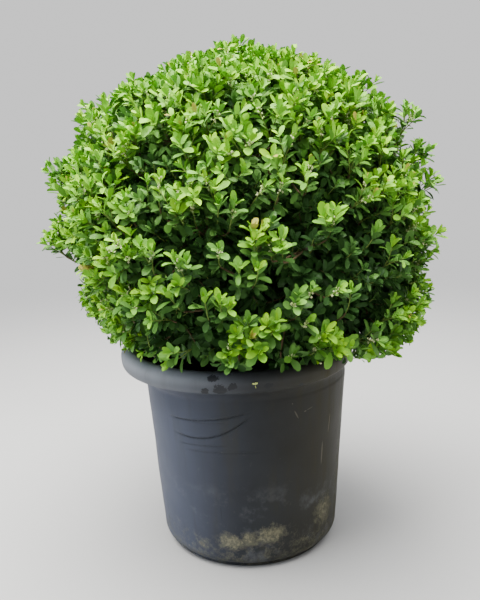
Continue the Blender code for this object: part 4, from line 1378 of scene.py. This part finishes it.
def tuft_twigs(leaves, sites, drawn, lean, first, first_owner):
    """A twig from the first-order ones to each tuft, with its old leaves: the lines, and the
    axis of each tuft."""
    directions, owner, level = sites["direction"], sites["mass"], elevation_of(sites["direction"])
    axes = unit(directions * 0.72 + by_angle(level, TUFT_LIFT)[:, None] * UP + lean)
    ends = BALL_CENTRE + directions * (sites["reach"] - sites["depth"] - SHOOT_END)[:, None]
    longer = np.where(sites["apart"], APART_LENGTH, 1.0)[:, None]
    bases = ends - axes * SHOOT_LENGTH * longer
    roots, ways = join_to(first, first_owner, bases, owner)
    gap = np.linalg.norm(bases - roots, axis=1, keepdims=True)
    lines = bend_between(roots, ways * gap, bases, axes * gap * 0.9, 7)
    # Old leaves are dealt lighter tints higher on the ball: painted light
    old = by_angle(level, [(angle, TINT[tint]) for angle, tint in OLD_TINTS]).astype(int)
    old = old + (drawn[:, :len(TWIG_PAIRS), 5].T < 0.45)
    pairs_on(leaves, lines, TWIG_PAIRS, old, owner, 1.0, 0.5, sites["row"], TUFTS + SPARE)
    return lines, axes


def added(amounts, chance):
    """What every one has, with a share by chance of what is added."""
    least, more = amounts
    return least + more * chance


def tuft_shoots(leaves, sites, drawn, bases, axes):
    """The shoots of each tuft, with their young leaves: lines, owners, and those in bud."""
    which = np.repeat(np.arange(len(bases)), sites["shoots"])
    order = np.concatenate([np.arange(size) for size in sites["shoots"]])
    base, axis = bases[which], axes[which]
    owner, apart, row = (sites[key][which] for key in ("mass", "apart", "row"))
    chances = drawn[which, order].T
    turn = order * GOLDEN_TURN + drawn[which, 0, 0] * 2 * math.pi
    spread = added(SHOOT_SPREAD, chances[1]) * np.where(apart, APART_SPREAD, 1.0)
    way = unit(axis + spread[:, None] * outward_from(axis, turn))
    length = (SHOOT_LENGTH * added(SHOOT_SHARE, chances[2]))[:, None]
    tip = base + way * length + UP * 0.002
    lines = bend_between(base, axis * length, tip, unit(way + UP * 0.3) * length, 7)

    # Young sprays are bright, more so high on the ball, and a few are warm at the tip
    height = elevation_of(sites["direction"])[which]
    dealt = pick(np.clip(chances[3] + by_angle(height, DULLNESS), 0, 0.999), YOUNG_TINTS)
    tint = np.where(sites["tint"][which] < 0, dealt, sites["tint"][which])
    steps = np.where(apart, np.array(APART_STEPS)[:, None], np.array(SHOOT_STEPS)[:, None])
    tints = np.clip(tint + steps, TINT["yellow_tip"], TINT["inner"])
    warm = chances[5] < WARM_SHARE
    tints[4:, warm] = TINT["warm_tip"] + (chances[5, warm] < YELLOW_SHARE)
    vigour = added(SHOOT_VIGOUR, chances[4]) * sites["size"][which]
    pairs_on(leaves, lines, SHOOT_PAIRS, tints, owner, vigour, 0.30,
             row * MOST_SHOOTS + order, (TUFTS + SPARE) * MOST_SHOOTS)
    budded = (tint < TINT["grass"]) & (chances[5] > BUDDED_FROM - 0.10 * (height > 0))
    return lines, owner, budded


def inner_twigs(leaves, lines, owner, hollows):
    """Leafy side twigs that fill the inside, on these lines: their own lines and owners."""
    which = np.repeat(np.arange(len(lines)), SIDE_TWIGS)
    root, ahead = spots_on(lines[which], dice.uniform(0.30, 0.999, len(which)))
    turn = dice.uniform(0, 2 * math.pi, len(which))
    way = unit(ahead * 0.55 + outward_from(ahead, turn) + unit(root - BALL_CENTRE) * 0.3)
    length = dice.uniform(*INNER_LENGTHS, len(which))[:, None]
    twigs = bend_between(root, way * length, root + way * length, unit(way + UP * 0.5) * length, 5)
    out = twigs[:, -1] - BALL_CENTRE
    limit = surface_radius(unit(out)) - INNER_LIMIT - sunk(unit(out), hollows) * 0.8
    fits = (np.linalg.norm(out, axis=1) < limit) & in_place(twigs, 0.004).all(axis=1)
    # Inner leaves get the darkest tints, partly their own colour and partly painted shade, lifted
    # higher on the ball as painted light
    height = elevation_of(out) + dice.normal(0, 8, (len(INNER_PAIRS), len(which)))
    dark = TINT["inner"] - by_angle(height[:, fits], INNER_PAINTED_LIGHT).round().astype(int)
    twigs, owner = twigs[fits], owner[which][fits]
    pairs_on(leaves, twigs, INNER_PAIRS, dark, owner, INNER_VIGOUR, 0.45,
             np.flatnonzero(fits), len(which))
    return twigs, owner


def grow_ball(limbs, starts, headings):
    """Leaves near the surface, leaves inside, twigs and buds of the whole ball, each with
    the mass that it belongs to."""
    hollows = seeded_hollows()
    leaves, inner = Leaves(), Leaves()
    first, first_owner = first_twigs(starts, headings)
    sites = tuft_sites(hollows)
    pool = np.random.default_rng(SEED + 10)
    lean = pool.normal(0, TUFT_LEAN, (TUFTS + SPARE, 3))[sites["row"]]
    drawn = pool.uniform(size=(TUFTS + SPARE, MOST_SHOOTS, 6))[sites["row"]]
    second, axes = tuft_twigs(leaves, sites, drawn, lean, first, first_owner)
    shoots, owner, budded = tuft_shoots(leaves, sites, drawn, second[:, -1], axes)

    # The limbs carry side twigs as well, three times as many
    nine = np.linspace(0, limbs.shape[1] - 1, first.shape[1]).astype(int)
    carriers = np.concatenate([first, np.tile(limbs[:, nine], (3, 1, 1))])
    carried_by = np.concatenate([first_owner, np.tile(np.arange(len(limbs)), 3)])
    side, side_owner = inner_twigs(inner, carriers, carried_by, hollows)

    stems = starts[:, None] + headings[:, None] * np.array((CLEAR, MASS_STEM_LENGTH))[:, None]
    twigs = (
        (first, FIRST_TWIG, first_owner),
        (second, TUFT_TWIG, sites["mass"]),
        (shoots[:, ::2], SHOOT, owner),
        (side[:, ::2], INNER_TWIG, side_owner),
        (stems, MASS_STEM, np.arange(len(limbs))),
    )
    return leaves.all(), inner.all(), twigs, flower_buds(shoots[budded], owner[budded])


def flower_buds(lines, owner):
    """Little round buds in clusters at the shoots' upper nodes: corners, tints, masses."""
    spots = []
    for node in BUD_NODES:
        root, _ = spots_on(lines, node)
        for _ in range(BUDS_AT_NODE):
            away = unit(dice.normal(0, 1, root.shape) + UP * 0.5)
            spots.append(root + away * dice.uniform(*BUD_REACH, (len(root), 1)))
    spots, owner = np.concatenate(spots), np.tile(owner, len(spots))
    kept = dice.uniform(size=len(spots)) < 0.75
    spots, owner = spots[kept], owner[kept]
    size = dice.uniform(*BUD_SIZES, (len(spots), 1, 1))
    return spots[:, None] + BEAD[None] * size, dice.choice((0, 0, 1), len(spots)), owner


def leaf_batch(leaves, outline, wanted=slice(None)):
    """Corners, triangles, tints and masses of the wanted leaves that stay in the part's box,
    off the pot and over the skirt."""
    leaves = {key: value[wanted] for key, value in leaves.items()}
    points = leaf_points(leaves, outline)
    low, high = np.array(CAD_BOX[0]) - BOX_PROUD, np.array(CAD_BOX[1]) + BOX_PROUD
    inside = ((points > low) & (points < high)).all(axis=(1, 2))
    kept = inside & in_place(points).all(axis=1)
    return points[kept], leaf_faces(len(outline)), leaves["tint"][kept], leaves["mass"][kept]


def twig_batch(lines, kind, owner):
    """Corners, triangles, tints and masses of the twigs that are in place."""
    root_radius, end_radius, sides, tint = kind
    kept = in_place(lines).all(axis=1)
    steps = lines.shape[1]
    points = tube_points(lines[kept], np.linspace(root_radius, end_radius, steps), sides)
    return points, tube_faces(steps, sides), np.full(len(points), tint), owner[kept]


def bud_batch(points, tints, owner):
    """Corners, triangles, tints and masses of the buds that are in place."""
    kept = in_place(points).all(axis=1)
    return points[kept], BEAD_FACES, tints[kept], owner[kept]


def share_of(number, batches):
    """What belongs to one mass, of batches of corners, triangles, tints and masses."""
    return [
        (points[owner == number], faces, tints[owner == number])
        for points, faces, tints, owner in batches
    ]


def make_foliage(masses, limbs):
    """For each mass its leaves, its twigs and its buds, as one mesh each."""
    leaf_finishes, twig_finishes, bud_finishes = map(
        plain_finishes, (LEAF_TINTS, TWIG_TINTS, BUD_TINTS)
    )
    starts, headings = limbs[:, -1], unit(limbs[:, -1] - limbs[:, -2])
    leaves, inner, twigs, buds = grow_ball(limbs, starts, headings)
    old = leaves["tint"] >= TINT["bottle"]
    leafy = [leaf_batch(leaves, FULL_LEAF, ~old), leaf_batch(leaves, PLAIN_LEAF, old),
             leaf_batch(inner, ROUGH_LEAF)]
    woody = [twig_batch(*twig) for twig in twigs]
    budding = [bud_batch(*buds)]
    for number, mass in enumerate(masses):
        name, node = mass["name"], f"foliage_{mass['name']}"
        dress(joined(f"leaves_{name}", leaf_finishes, *share_of(number, leafy)), "foliage", node)
        dress(joined(f"twigs_{name}", twig_finishes, *share_of(number, woody)), "bark", node)
        dress(joined(f"buds_{name}", bud_finishes, *share_of(number, budding)), "foliage")


def make_fallen_flower():
    """A little yellow-green flower that fell on the rim: three petals and a stalk."""
    turn = math.radians(-81.8)
    outward = np.array((math.cos(turn), math.sin(turn), 0.0))
    level = np.array((-math.sin(turn), math.cos(turn), 0.0))
    ways = [level * x + UP * z for x, z in ((-0.8, 0.6), (0.75, 0.7), (0.1, 1.0), (0.2, -1.0))]
    spot = outward * (RIM_RADIUS + 0.0004) + (RIM_SHIFT, 0, 0) + UP * 0.2885
    count = len(ways)
    petals = Leaves()
    petals.add(
        root=np.tile(spot, (count, 1)),
        ahead=np.array(ways),
        face=np.tile(outward, (count, 1)),
        length=np.array((0.0048, 0.0046, 0.0036, 0.0050)),
        width=np.array((0.0026, 0.0025, 0.0020, 0.0010)),
        curl=np.full(count, -0.5),
        cup=np.full(count, 0.5),
    )
    made = Finish("fallen_petal", {"Roughness": 0.5})
    vein = made.noise(made.place(), 900.0, 3.0)
    made.base(vein, *PETAL)
    petals = (leaf_points(petals.all(), FULL_LEAF), leaf_faces(len(FULL_LEAF)))
    dress(joined("fallen_flower", [made.material], petals), "foliage")


# Studio ----------------------------------------------------------------------------


def make_floor():
    """A pale floor that fades with distance into the backdrop, with no horizon."""
    finish = Finish(
        "pale_floor", {"Roughness": 0.9, "Emission Strength": 1.0, "Specular IOR Level": 0.0}
    )
    place = finish.place()
    far = finish.vector("LENGTH", place, output="Value").between(0.45, 2.2)
    finish.base(far, FLOOR_PALE + 0.02 * finish.noise(place, 2.0, 3.0), BLACK)
    finish.feed("Emission Color", finish.mix(far, BLACK, (BACKDROP,) * 3))
    sides, rows = 96, len(FLOOR_RINGS)
    rings = round_axis(np.array(FLOOR_RINGS)[:, None], full_turn(sides), FLOOR_Z)
    points = np.concatenate([rings.reshape(-1, 3), [(0, 0, FLOOR_Z)]])
    faces = [grid_faces(rows, sides)[:, ::-1], fan_faces(0, sides, rows * sides)]
    plain_mesh("studio_floor", points, np.concatenate(faces), [finish.material])


def add_lamp(name, place, target, size, power, colour):
    data = bpy.data.lights.new(name, "AREA")
    data.shape = "RECTANGLE"
    data.size, data.size_y = size
    data.energy = power
    data.color = colour
    lamp = bpy.data.objects.new(name, data)
    lamp.location = place
    lamp.rotation_euler = (Vector(target) - Vector(place)).to_track_quat("-Z", "Y").to_euler()
    lamp.visible_camera = False
    bpy.context.scene.collection.objects.link(lamp)


def make_sky():
    """A plain pale backdrop: dim over the part, so that its shade stays deep."""
    world = bpy.data.worlds.new("studio")
    bpy.context.scene.world = world
    world.use_nodes = True
    tree = world.node_tree
    coordinates = tree.nodes.new("ShaderNodeTexCoord")
    split = tree.nodes.new("ShaderNodeSeparateXYZ")
    ramp = tree.nodes.new("ShaderNodeValToRGB")
    tree.links.new(coordinates.outputs["Generated"], split.inputs[0])
    tree.links.new(split.outputs[2], ramp.inputs[0])
    while len(ramp.color_ramp.elements) < len(SKY):
        ramp.color_ramp.elements.new(0.5)
    for element, (place, level) in zip(ramp.color_ramp.elements, SKY):
        element.position = place
        element.color = (level, level, level, 1)
    background = tree.nodes["Background"]
    tree.links.new(ramp.outputs[0], background.inputs["Color"])
    background.inputs["Strength"].default_value = 1.0


def make_camera():
    data = bpy.data.cameras.new("camera")
    data.lens = CAMERA_LENS
    data.sensor_fit = "VERTICAL"
    data.sensor_height = 36.0
    camera = bpy.data.objects.new("camera", data)
    level = Vector((1, 0, 0))
    ahead = Vector((0, math.cos(CAMERA_PITCH), -math.sin(CAMERA_PITCH)))
    upright = Vector((0, math.sin(CAMERA_PITCH), math.cos(CAMERA_PITCH)))
    right = level * math.cos(CAMERA_ROLL) + upright * math.sin(CAMERA_ROLL)
    above = upright * math.cos(CAMERA_ROLL) - level * math.sin(CAMERA_ROLL)
    turn = camera.rotation_euler.to_matrix()
    for row in range(3):
        turn[row] = (right[row], above[row], -ahead[row])
    camera.rotation_euler = turn.to_euler()
    camera.location = CAMERA_PLACE
    bpy.context.scene.collection.objects.link(camera)
    bpy.context.scene.camera = camera


make_pot()
make_fallen_flower()
make_compost()
bark = bark_finish()
make_stem(bark)
masses = plan_masses()
make_foliage(masses, np.array([make_bough(mass, bark) for mass in masses]))

make_floor()
make_sky()
make_camera()
for lamp in LAMPS:
    add_lamp(*lamp)
